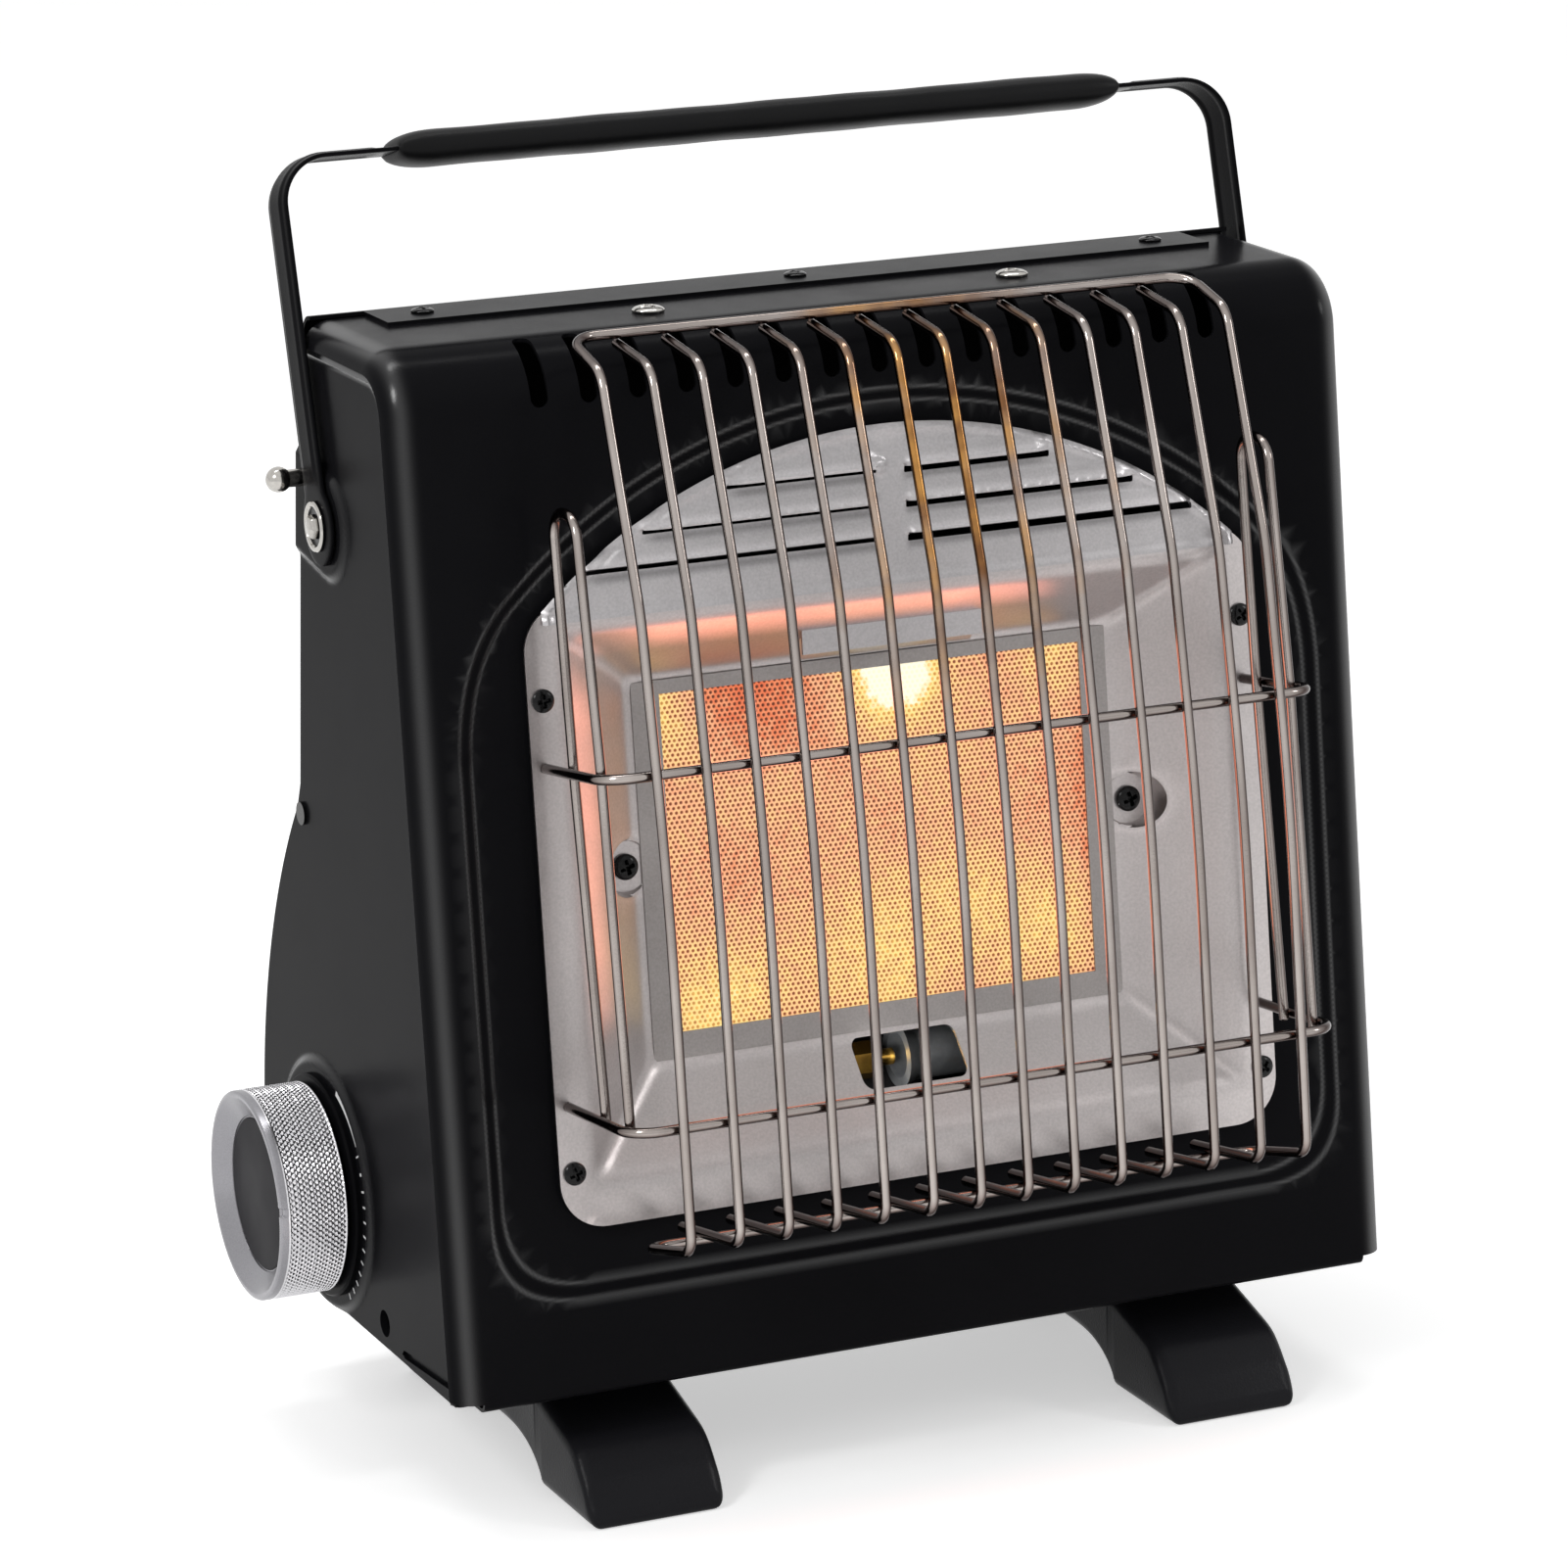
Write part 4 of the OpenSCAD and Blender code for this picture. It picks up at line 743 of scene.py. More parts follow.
def build_palette() -> Palette:
    """Makes all the heater's finishes.

    Returns:
        The palette.
    """
    palette = Palette()
    for finish in (
        PaintFinish("cabinet_enamel", tint(17, 17, 19), (0.18, 0.25), ior=1.07),
        PaintFinish("strap_enamel", tint(14, 14, 16), (0.2, 0.28), ior=1.08),
        PaintFinish("grip_rubber", tint(16, 16, 17), (0.36, 0.46), peel=0.00005,
                    peel_scale=1100.0, ior=1.2),
        PaintFinish("foot_plastic", tint(26, 26, 29), (0.26, 0.36), peel=0.00005,
                    peel_scale=1400.0, ior=1.18),
        PaintFinish("bezel_plastic", tint(10, 10, 12), (0.3, 0.4), ior=1.08),
        PaintFinish("cap_lacquer", tint(30, 29, 32), (0.35, 0.45), peel=0.00001, ior=1.12),
        PaintFinish("dial_print", tint(214, 214, 214), (0.5, 0.6)),
        PaintFinish("black_screw", tint(9, 9, 10), (0.12, 0.2), peel=0.00001, ior=1.3),
        # Very dark steel for the sheets round the burner, which show through the vent slots.
        PaintFinish("dark_inner_steel", tint(22, 21, 21), (0.5, 0.7), peel=0.00006, ior=1.1),
        PaintFinish("white_plastic", tint(222, 221, 214), (0.4, 0.5), ior=1.4),
        PaintFinish("white_ceramic", tint(236, 233, 226), (0.25, 0.35), ior=1.45),
        PaintFinish("mineral_gasket", tint(196, 192, 182), (0.85, 0.95), peel=0.0002,
                    peel_scale=900.0, ior=1.3),
        PaintFinish("cartridge_paint", tint(52, 98, 142), (0.2, 0.32), peel=0.00001, ior=1.45),
        MetalFinish("reflector_steel", tint(188, 182, 181), (0.3, 0.36), 0.000003, 1500.0),
        MetalFinish("hood_steel", tint(186, 183, 184), (0.3, 0.36), 0.000003, 1500.0),
        MetalFinish("frame_steel", tint(156, 151, 149), (0.42, 0.54), 0.00001, 1500.0),
        MetalFinish("sheet_steel", tint(168, 170, 170), (0.36, 0.52), stretch=(0.2, 1, 1)),
        MetalFinish("bright_steel", tint(186, 183, 178), (0.1, 0.2), grain=0.00001),
        MetalFinish("nozzle_brass", tint(206, 160, 74), (0.14, 0.26), grain=0.00001),
        MetalFinish("pipe_copper", tint(190, 116, 76), (0.2, 0.34), grain=0.00001),
        MetalFinish("die_cast", tint(160, 162, 164), (0.42, 0.58), 0.00005, 600.0),
        MetalFinish("knob_aluminium", tint(150, 149, 153), (0.26, 0.34), 0.00001, 2600.0),
        MetalFinish("knurl_aluminium", tint(224, 223, 226), (0.14, 0.2), 0.00001, 2600.0),
        WireFinish(), GlowFinish(),
    ):
        palette.add(finish)
    return palette


# ---- pieces ----


def added(name: str, data: bpy.types.ID) -> bpy.types.Object:
    """A new object in the scene."""
    made = bpy.data.objects.new(name, data)
    bpy.context.scene.collection.objects.link(made)
    return made


@dataclass
class Workshop:
    """Turns solids into finished pieces and keeps count of them.

    Attributes:
        palette: The finishes.
    """

    palette: Palette

    def piece(self, name: str, solids: Sequence[Solid], finish: str, body: Body,
              replaced: Sequence[str] = (), crease: float = 35.0,
              values: dict[str, Array] | None = None) -> bpy.types.Object:
        """Makes one piece.

        Args:
            name: The piece's name.
            solids: What it is made of, in millimetres.
            finish: Name of its finish.
            body: The body that it moves with.
            replaced: CAD nodes that it stands for.
            crease: Angle in degrees from which an edge stays sharp.
            values: Point attributes, by name.

        Returns:
            The new object.
        """
        points, faces = joined(solids)
        mesh = bpy.data.meshes.new(name)
        mesh.from_pydata(((points - ORIGIN) * MM).tolist(), [], faces)
        mesh.validate()
        mesh.shade_smooth()
        mesh.set_sharp_from_angle(angle=math.radians(crease))
        for key, numbers in (values or {}).items():
            layer = mesh.attributes.new(key, "FLOAT", "POINT")
            layer.data.foreach_set("value", numbers.astype(np.float32))
        mesh.materials.append(self.palette[finish])
        made = added(name, mesh)
        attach(made, body.value)
        if replaced:
            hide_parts(*replaced)
        log.info("%s: %d points, %d faces", name, len(points), len(faces))
        return made

    def sheet(self, name: str, blank: Blank, face: Callable[[Array], Array], thickness: float,
              finish: str, slot: str, node: str, attribute: str,
              value: Callable[[Array], Array], flip: bool = False) -> None:
        """Makes a formed sheet that stands for one CAD node of the cabinet.

        Args:
            name: The piece's name.
            blank: Its flat blank.
            face: Gives the place of each of the blank's points on the front.
            thickness: Thickness of the sheet.
            finish: Name of its finish.
            slot: The record's material slot; not used.
            node: CAD node that it stands for.
            attribute: Name of the point attribute that the finish reads.
            value: Gives the attribute at each of the blank's points.
            flip: Whether the front's triangles turn right once they are bent.
        """
        cut = blank.cut()
        self.piece(name, [formed(cut, face, thickness, flip)], finish, Body.CABINET, [node],
                   values={attribute: np.tile(value(cut[0]), 2)})

    def dress(self, finish: str, *nodes: str) -> None:
        """Gives CAD nodes a finish."""
        for node in nodes:
            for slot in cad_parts[node].material_slots:
                slot.material = self.palette[finish]
        log.info("%s on %s", finish, ", ".join(nodes))


@dataclass(frozen=True)
class CabinetForm:
    """The side outline that the cabinet's sheets share, and its leaning front face.

    Attributes:
        lean: Backward lean of the front face in degrees.
        foot_z: Height of the face's foot.
        top_z: Height of the top panel.
        brow: Middle of the brow's bend in Y and Z.
        brow_radius: Outer radius of the brow's bend.
        rear: Top of the rear face in Y and Z.
        rear_lean: Forward lean of the rear face in degrees.
    """

    lean: float = 6.1
    foot_z: float = 32.2
    top_z: float = 291.5
    brow: Pair = (42.99, 274.5)
    brow_radius: float = 17.0
    rear: Pair = (90.0, 292.5)
    rear_lean: float = 6.2

    def at(self, x: Array, depth: Array, height: Array) -> Array:
        """Places on the heater for distance across, depth behind and height up the face."""
        c, s = turned(self.lean)
        return np.stack(np.broadcast_arrays(
            x, depth * c + height * s, self.foot_z + height * c - depth * s), -1)

    def out(self) -> Triple:
        """The direction that the face looks in."""
        c, s = turned(self.lean)
        return (0.0, -c, s)

    def up(self) -> Triple:
        """The direction up the face."""
        c, s = turned(self.lean)
        return (0.0, s, c)

    def depth_of(self, y: Array, z: Array) -> Array:
        """Depth of a point behind the face."""
        c, s = turned(self.lean)
        return y * c - (z - self.foot_z) * s

    def height_of(self, y: Array, z: Array) -> Array:
        """Height of a point up the face."""
        c, s = turned(self.lean)
        return y * s + (z - self.foot_z) * c

    def rear_y(self, z: float) -> float:
        """Y of the rear face at a height."""
        return self.rear[0] + (self.rear[1] - z) * math.tan(math.radians(self.rear_lean))


FORM = CabinetForm()


@dataclass(frozen=True)
class FrontCasing:
    """The formed front sheet: bottom lip, leaning face, brow, top panel and side lips."""

    half_width: float = 130.0
    edge_radius: float = 7.0
    lip_depth: float = 6.1
    lip_start: float = 2.6
    sheet: float = 1.0
    rear_y: float = 84.0
    foot_radius: float = 2.5
    bottom_lip: float = 9.0
    foot_zone: float = 5.0
    brow_zone: Pair = (244.0, 272.0)
    vent_count: int = 15
    vent_pitch: float = 12.95
    vent_half: float = 2.35
    vent_low: float = 245.6
    vent_high: float = 267.0
    groove_half: float = 116.0
    groove_low: float = 27.0
    groove_radius: float = 146.5
    groove_centre: float = 93.4
    groove_depth: float = 1.7
    groove_width: float = 3.5
    groove_bend: float = 0.7
    opening_half: float = 92.5
    opening_low: float = 52.0
    opening_high: float = 193.0
    crown_half: float = 89.5
    crown_centre: float = 93.3
    crown_radius: float = 134.7
    crown_start: float = 48.4

    @property
    def flat(self) -> float:
        """Half the width of the flat part between the edge bends."""
        return self.half_width - self.edge_radius

    def side_path(self) -> tuple[Array, Array, Array]:
        """The sheet's side outline from the bottom lip's end to the top panel's rear.

        Returns:
            Distance along the outline, which is the height up the face on the face, the
            places in Y and Z, and the unit normals into the cabinet.
        """
        foot = np.array([0.0, FORM.foot_z])
        corner_y = (FORM.top_z - FORM.foot_z) * math.tan(math.radians(FORM.lean))
        corner = np.array([corner_y, FORM.top_z])
        ends = [self.bottom_lip, FORM.foot_z], [self.rear_y, FORM.top_z]
        path = Track(np.array([ends[0], foot, corner, ends[1]]),
                     (self.foot_radius, FORM.brow_radius), 24, 3.0).points()
        length = np.concatenate([[0.0], np.cumsum(np.linalg.norm(np.diff(path, axis=0), axis=1))])
        on_face = int(np.argmin(np.abs(path[:, 1] - 150.0)))
        length += FORM.height_of(*path[on_face]) - length[on_face]
        t = unit(np.gradient(path, axis=0))
        normal = np.stack([t[:, 1], -t[:, 0]], -1)
        return length, path, normal

    def groove_gap(self, x: Array, s: Array) -> Array:
        """Distance outside the edge of the pressed field around the reflector.

        It is the largest of the distances beyond the field's sides, below its foot and
        beyond its arch, with round corners.
        """
        arch = np.hypot(x, s - self.groove_centre) - self.groove_radius
        edge = smooth_max(np.abs(x) - self.groove_half, arch, 14.0)
        return smooth_max(edge, self.groove_low - s, 22.0)

    def groove(self, x: Array, s: Array) -> Array:
        """Depth of the pressed field: a bevel falls in a straight line between tight bends."""
        line = 0.5 - self.groove_gap(x, s) / self.groove_width
        bend = self.groove_bend / self.groove_width
        fall = smooth_max(smooth_min(line, np.ones_like(line), bend), np.zeros_like(line), bend)
        return self.groove_depth * fall

    def bent(self, p: Array) -> Array:
        """Whether the sheet is bent at points of the blank."""
        x, s = p.T
        brow = (s > self.brow_zone[0]) & (s < self.brow_zone[1])
        groove = np.abs(self.groove_gap(x, s)) < self.groove_width / 2 + 0.9
        return (np.abs(x) > self.flat - 1) | brow | (s < self.foot_zone) | groove

    def shine(self, p: Array) -> Array:
        """How rubbed the paint is: most on the pressed bevel's bends and the edge's bend."""
        bevel = crest(np.abs(self.groove_gap(*p.T)) - self.groove_width / 2, 0.5)
        round_edge = 0.75 * crest(np.abs(p[:, 0]) - self.flat - self.edge_radius / 2, 2.2)
        return np.clip(bevel + round_edge, 0, 1)

    def face(self, p: Array) -> Array:
        """Bends the blank.

        Across, a point goes straight to the edge's bend and then round it by the angle
        distance / radius. Along, it follows the side outline. Its depth under the
        outline is what the bend and the pressed field give.

        Args:
            p: Points of the blank: distance across, and distance along the outline.

        Returns:
            Their places on the heater.
        """
        length, path, normal = self.side_path()
        angle = np.maximum(0.0, np.abs(p[:, 0]) - self.flat) / self.edge_radius
        reach = np.minimum(np.abs(p[:, 0]), self.flat) + self.edge_radius * np.sin(angle)
        x = np.sign(p[:, 0]) * reach
        depth = self.edge_radius * (1 - np.cos(angle)) + self.groove(*p.T)
        y, z, ny, nz = (np.interp(p[:, 1], length, c) for c in (*path.T, *normal.T))
        return np.stack([x, y + ny * depth, z + nz * depth], -1)

    def build(self, shop: Workshop) -> None:
        """Makes the casing with its vent slots and the opening behind the reflector."""
        length = self.side_path()[0]
        flat, start = self.flat, self.lip_start
        side = flat + self.edge_radius * math.acos(1 - self.lip_depth / self.edge_radius)
        low, top = length[0], length[-1]
        outline = np.array([[-flat, low], [flat, low], [flat, start], [side, start], [side, top],
                            [-side, top], [-side, start], [-flat, start]])
        xs = (np.arange(self.vent_count) - (self.vent_count - 1) / 2) * self.vent_pitch
        r = self.vent_half
        vents = [round_rect(x - r, self.vent_low, x + r, self.vent_high, r * 0.999, 9) for x in xs]
        crown = arc((0, self.crown_centre), self.crown_radius, self.crown_start,
                    180 - self.crown_start, 60)
        half, shoulder, high = self.opening_half, self.crown_half, self.opening_high
        opening = np.concatenate([
            [[-half, self.opening_low], [half, self.opening_low], [half, high], [shoulder, high]],
            crown, [[-shoulder, high], [-half, high]]])
        blank = Blank(outline, [*vents, opening], 5.0, 0.8, self.bent)
        shop.sheet("front_sheet", blank, self.face, self.sheet, "cabinet_enamel", "cabinet_black",
                   "front_casing", "bend", self.shine)


@dataclass(frozen=True)
class SidePanel:
    """A flat side wall with its pressed handle boss and, on the left, the knob's pad."""

    name: str
    node: str
    sign: float
    plane: float = 128.7
    sheet: float = 1.0
    inset: float = 5.33
    boss: float = 1.3
    pivot: Pair = (74.5, 242.0)
    knob: Pair = (93.0, 65.5)
    pad_radius: float = 32.4
    boss_radius: float = 13.5
    boss_end: Pair = (118.0, 249.0)
    lip_gap: float = 2.4
    ridge: float = 0.5
    brow_line: Pair = (276.3, 0.107)
    base_z: float = 33.4
    bulge_top: float = 169.5
    bulge: Pair = (-19.0, 63.0)
    bulge_radius: float = 159.2
    bulge_angle: float = 38.9
    heel: Pair = (111.2, 63.0)
    heel_radius: float = 29.0
    hole: Pair = (53.8, 39.9)
    hole_radius: float = 3.5
    stem_radius: float = 6.0
    slot: tuple[Pair, ...] = (
        (5.6, 38.6), (7.4, 36.9), (40.0, 34.9), (42.0, 35.6), (40.6, 37.0), (8.2, 39.4))

    def outline(self) -> Array:
        """The panel's side outline in Y and Z."""
        lean, top = math.radians(FORM.lean), FORM.top_z - self.inset
        front = (self.base_z - FORM.foot_z) * math.tan(lean) + self.inset / math.cos(lean)
        edge = 1.2 / turned(FORM.rear_lean)[0]
        rear = [[FORM.rear_y(z) - edge, z] for z in (top, self.bulge_top)]
        return np.concatenate([
            [[front, self.base_z]],
            arc(FORM.brow, FORM.brow_radius - self.inset, 180 - FORM.lean, 90, 24), rear,
            arc(self.bulge, self.bulge_radius, self.bulge_angle, 0, 30),
            arc(self.heel, self.heel_radius, 0, -90, 16)])[::-1]

    def boss_height(self, p: Array) -> Array:
        """Height of the handle's boss and the knob's pad, as a share of their full height.

        The boss is a capsule from the pivot to the rear edge, the pad a disc. Each rises
        over a bevel that is a smooth step of the distance to its edge.
        """
        start, end = np.array(self.pivot), np.array(self.boss_end)
        along = np.clip((p - start) @ (end - start) / ((end - start) @ (end - start)), 0, 1)
        gap = np.linalg.norm(p - start - along[:, None] * (end - start), axis=1)
        height = smooth_step(self.boss_radius + 1.4, self.boss_radius - 1.4, gap)
        if self.sign < 0:
            ring = np.hypot(*(p - np.array(self.knob)).T)
            pad = smooth_step(self.pad_radius + 1.6, self.pad_radius - 1.2, ring)
            height = np.maximum(height, pad)
        return height

    def relief(self, p: Array) -> Array:
        """Height of the pressed forms and of a low round ridge along the casing's lip."""
        height = self.boss_height(p)
        return self.boss * height + self.ridge * crest(self.ridge_gap(p), 0.55) * (1 - height)

    def ridge_gap(self, p: Array) -> Array:
        """Distance of points from the ridge, which runs at an even distance to the casing."""
        y, z = p.T
        brow_y, brow_z = FORM.brow
        start, slope = self.brow_line
        corner = (y < brow_y) & (z > start - (brow_y - y) * slope)
        round_gap = FORM.brow_radius - np.hypot(y - brow_y, z - brow_z)
        straight_gap = np.minimum(FORM.depth_of(y, z), FORM.top_z - z)
        return np.where(corner, round_gap, straight_gap) - self.inset - self.lip_gap

    def bent(self, p: Array) -> Array:
        """Whether a point lies on or beside a bevel or the ridge."""
        around = ([0, 0], [1.6, 0], [-1.6, 0], [0, 1.6], [0, -1.6])
        total = sum(self.relief(p + np.array(step)) for step in around) / self.boss
        return ((total > 0.02) & (total < 4.98)) | (np.abs(self.ridge_gap(p)) < 1.8)

    def shine(self, p: Array) -> Array:
        """How rubbed the paint is: most on the ridge and on the bevels' slopes."""
        height = self.relief(p) / self.boss
        ridge = 0.9 * crest(self.ridge_gap(p), 0.7)
        return np.clip(ridge + 1.6 * height * (1 - height), 0, 1)

    def face(self, p: Array) -> Array:
        """Places of the panel's outer face: its plane plus the relief."""
        return np.stack([self.sign * (self.plane + self.relief(p)), p[:, 0], p[:, 1]], -1)

    def build(self, shop: Workshop) -> None:
        """Makes the panel."""
        left = self.sign < 0
        holes = [arc(self.hole, self.hole_radius, 0, 345, 24)]
        if left:
            holes += [arc(self.knob, self.stem_radius, 0, 345, 24), np.array(self.slot)]
        blank = Blank(self.outline(), holes, 6.0, 0.9, self.bent)
        shop.sheet(self.name, blank, self.face, self.sheet, "cabinet_enamel", "cabinet_black",
                   self.node, "bend", self.shine, left)


@dataclass(frozen=True)
class Reflector:
    """The pressed reflector pan, the arch plate over it and their screws."""

    half: float = 99.5
    low: float = 42.7
    high: float = 198.0
    corner: float = 12.0
    sheet: float = 0.8
    depth: float = 17.0
    mouth_half: float = 90.0
    mouth_low: float = 54.0
    mouth_high: float = 191.0
    wall_side: float = 24.0
    wall_low: float = 23.0
    wall_high: float = 16.5
    window_half: float = 14.5
    window_x: float = 2.2
    window_depths: Pair = (7.8, 16.7)
    floor: Quad = (-60.0, 82.4, 60.0, 172.1)
    screw_x: float = 69.9
    screw_s: float = 128.0
    screw_rings: tuple[float, ...] = (4.6, 6.0, 6.4, 6.8, 7.3, 7.8, 8.2, 8.8)
    arch_radius: float = 139.7
    arch_centre: float = 93.3
    arch_half: float = 94.5
    arch_low: float = 193.0
    hood_rise: float = 2.3
    louvres: tuple[Pair, ...] = ((222.3, 44.0), (213.6, 67.0), (205.2, 83.0))
    slit_heights: Pair = (1.95, 1.3)
    dimple: Pair = (-3.0, 222.7)

    def walls(self, x: Array, s: Array) -> tuple[Array, Array, Array]:
        """Depth of the side, lower and upper walls.

        Each falls in proportion to the distance inside the mouth's edge on its side.
        """
        return (self.depth * (self.mouth_half - np.abs(x)) / self.wall_side,
                self.depth * (s - self.mouth_low) / self.wall_low,
                self.depth * (self.mouth_high - s) / self.wall_high)

    def screw_gap(self, x: Array, s: Array) -> Array:
        """Distance from the nearer of the two screws."""
        return np.hypot(np.abs(x) - self.screw_x, s - self.screw_s)

    def pan_depth(self, x: Array, s: Array) -> Array:
        """Depth of the pan's face.

        It is the smallest of the walls' depths and the floor's, with round bends. Over
        the two screws it is pressed to the floor's depth in a round dimple.
        """
        side, lower, upper = self.walls(x, s)
        walls = smooth_min(smooth_min(side, lower, 3.2), upper, 3.2)
        walls = smooth_min(walls, np.full_like(walls, self.depth), 2.2)
        walls = smooth_max(walls, np.zeros_like(walls), 2.4)
        dimple = self.depth * smooth_step(8.2, 6.4, self.screw_gap(x, s))
        return np.maximum(walls, dimple) * (self.depth + self.sheet) / self.depth

    def pan_painted_light(self, p: Array) -> Array:
        """Painted highlight along the lower folds and the dimples' rims, painted shade along the
        upper folds.
        """
        side, lower, upper = self.walls(*p.T)
        sloped = smooth_step(0.2, 2.0, side) * smooth_step(17.5, 15.5, side)
        # Painted highlights on the lower folds and painted shade on the upper folds.
        folds = 0.75 * crest(side - lower, 0.8) - 0.5 * crest(side - upper, 0.7)
        return folds * sloped + 0.5 * crest(self.screw_gap(*p.T) - 8.3, 0.6)

    def pan_bent(self, p: Array) -> Array:
        """Whether the pan bends near a point: where its depth isn't locally flat."""
        x, s = p.T
        e = 1.2
        here = self.pan_depth(x, s)
        bend = (np.abs(self.pan_depth(x + e, s) + self.pan_depth(x - e, s) - 2 * here)
                + np.abs(self.pan_depth(x, s + e) + self.pan_depth(x, s - e) - 2 * here))
        return bend > 0.02

    def pan_face(self, p: Array) -> Array:
        """Front of the pan: its flange stands one sheet before the casing."""
        return FORM.at(p[:, 0], self.pan_depth(*p.T) - self.sheet, p[:, 1])

    def build_pan(self, shop: Workshop) -> None:
        """Makes the pan with its air window and the opening for the plaque."""
        slope = self.wall_low / self.depth
        low, high = (self.mouth_low + slope * depth for depth in self.window_depths)
        window = round_rect(self.window_x - self.window_half, low,
                            self.window_x + self.window_half, high, 2.6)
        outline = round_rect(-self.half, self.low, self.half, self.high, self.corner, 14)
        ring = np.concatenate([arc((0, 0), r, 0, 352.5, 48) for r in self.screw_rings])
        rings = np.concatenate([ring + [x, self.screw_s] for x in (-self.screw_x, self.screw_x)])
        blank = Blank(outline, [window, round_rect(*self.floor, 1.5, 4)], 4.0, 0.95,
                      self.pan_bent, rings)
        # The dish carries painted highlights and shade on its folds and dimple rims.
        shop.sheet("reflector_dish", blank, self.pan_face, self.sheet, "reflector_steel",
                   "reflector_steel", "reflector_pan", "painted_light", self.pan_painted_light)

    def arch_edge(self, x: Array, s: Array) -> Array:
        """Distance inside the arch plate's rim or its sides."""
        rim = self.arch_radius - np.hypot(x, s - self.arch_centre)
        return np.minimum(rim, self.arch_half - np.abs(x))

    def dimple_gap(self, x: Array, s: Array) -> Array:
        """Distance from the small dimple in the plate's crown."""
        return np.hypot(x - self.dimple[0], s - self.dimple[1])

    def louvre_ends(self, x: Array, reach: float, full: float) -> Array:
        """1 along a louvre, falling to 0 at the middle and towards its reach."""
        away = np.abs(x)
        return smooth_step(2.8, full, away) * smooth_step(reach + 2.0, reach - 5.0, away)

    def arch_rise(self, x: Array, s: Array) -> Array:
        """How far the arch plate stands out from its plane.

        Over each slit the sheet is pushed out in a hood that is highest at the slit and
        fades upwards and towards its ends. The plate's rim is rolled back, and a small
        dimple sits in its crown.
        """
        rise = np.zeros_like(x)
        for row, reach in self.louvres:
            above = s - row
            lift = np.clip(1 - np.abs(above - 0.3) / 4.2, 0, 1) * (above > -0.25)
            sunk = np.clip(1 - np.abs(above + 1.6) / 2.6, 0, 1) * (above < -1.2)
            ends = self.louvre_ends(x, reach, 6.0)
            rise = rise + ends * (self.hood_rise * lift - 0.5 * sunk)
        edge = self.arch_edge(x, s)
        rise = rise + 0.45 * crest(edge - 1.5, 0.7) - 0.7 * smooth_step(1.0, 0.0, edge)
        rise = rise + 0.6 * smooth_step(self.arch_low + 2.4, self.arch_low + 0.4, s)
        return rise + 1.0 * smooth_step(2.6, 1.2, self.dimple_gap(x, s))

    def arch_painted_light(self, p: Array) -> Array:
        """Painted highlight on each hood's crest, painted shade in the hollow under it."""
        x, s = p.T
        painted_light = np.zeros_like(x)
        for row, reach in self.louvres:
            above = s - row
            # Painted highlight above each slit, painted shade below it.
            shade = 0.6 * crest(above - 1.1, 1.0) - 1.1 * crest(above + 2.5, 1.2)
            painted_light += self.louvre_ends(x, reach, 5.0) * shade
        return painted_light

    def arch_bent(self, p: Array) -> Array:
        """Whether the arch plate is formed near a point."""
        x, s = p.T
        near = np.zeros(len(p), bool)
        for row, reach in self.louvres:
            near |= (s > row - 4.6) & (s < row + 5.2) & (np.abs(x) < reach + 2.5)
        return (near | (self.arch_edge(x, s) < 3.2) | (s < self.arch_low + 3)
                | (self.dimple_gap(x, s) < 3.5))

    def arch_face(self, p: Array) -> Array:
        """Front of the arch plate: it lies on the pan's flange."""
        return FORM.at(p[:, 0], -2 * self.sheet - self.arch_rise(*p.T), p[:, 1])

    def build_arch(self, shop: Workshop) -> None:
        """Makes the arch plate with its six louvres."""
        top = math.degrees(math.acos(self.arch_half / self.arch_radius))
        rim = arc((0, self.arch_centre), self.arch_radius, top, 180 - top, 60)
        foot = [[-self.arch_half, self.arch_low], [self.arch_half, self.arch_low]]
        right, left = self.slit_heights
        slits = [round_rect(min(a, b), row - tall, max(a, b), row - 0.25, 0.4, 4)
                 for row, reach in self.louvres
                 for a, b, tall in ((4.0, reach, right), (-4.0, -reach, left))]
        blank = Blank(np.concatenate([foot, rim]), slits, 4.0, 0.8, self.arch_bent)
        # The plate carries painted highlights on its hoods and painted shade under them.
        shop.sheet("arch_hood", blank, self.arch_face, self.sheet, "hood_steel",
                   "reflector_steel", "arch_plate", "painted_light", self.arch_painted_light)

    def build(self, shop: Workshop) -> None:
        """Makes the pan and the arch plate and dresses what belongs to them."""
        self.build_pan(shop)
        self.build_arch(shop)
        shop.dress("frame_steel", "plaque_frame")
        shop.dress("hood_steel", "flame_deflector")


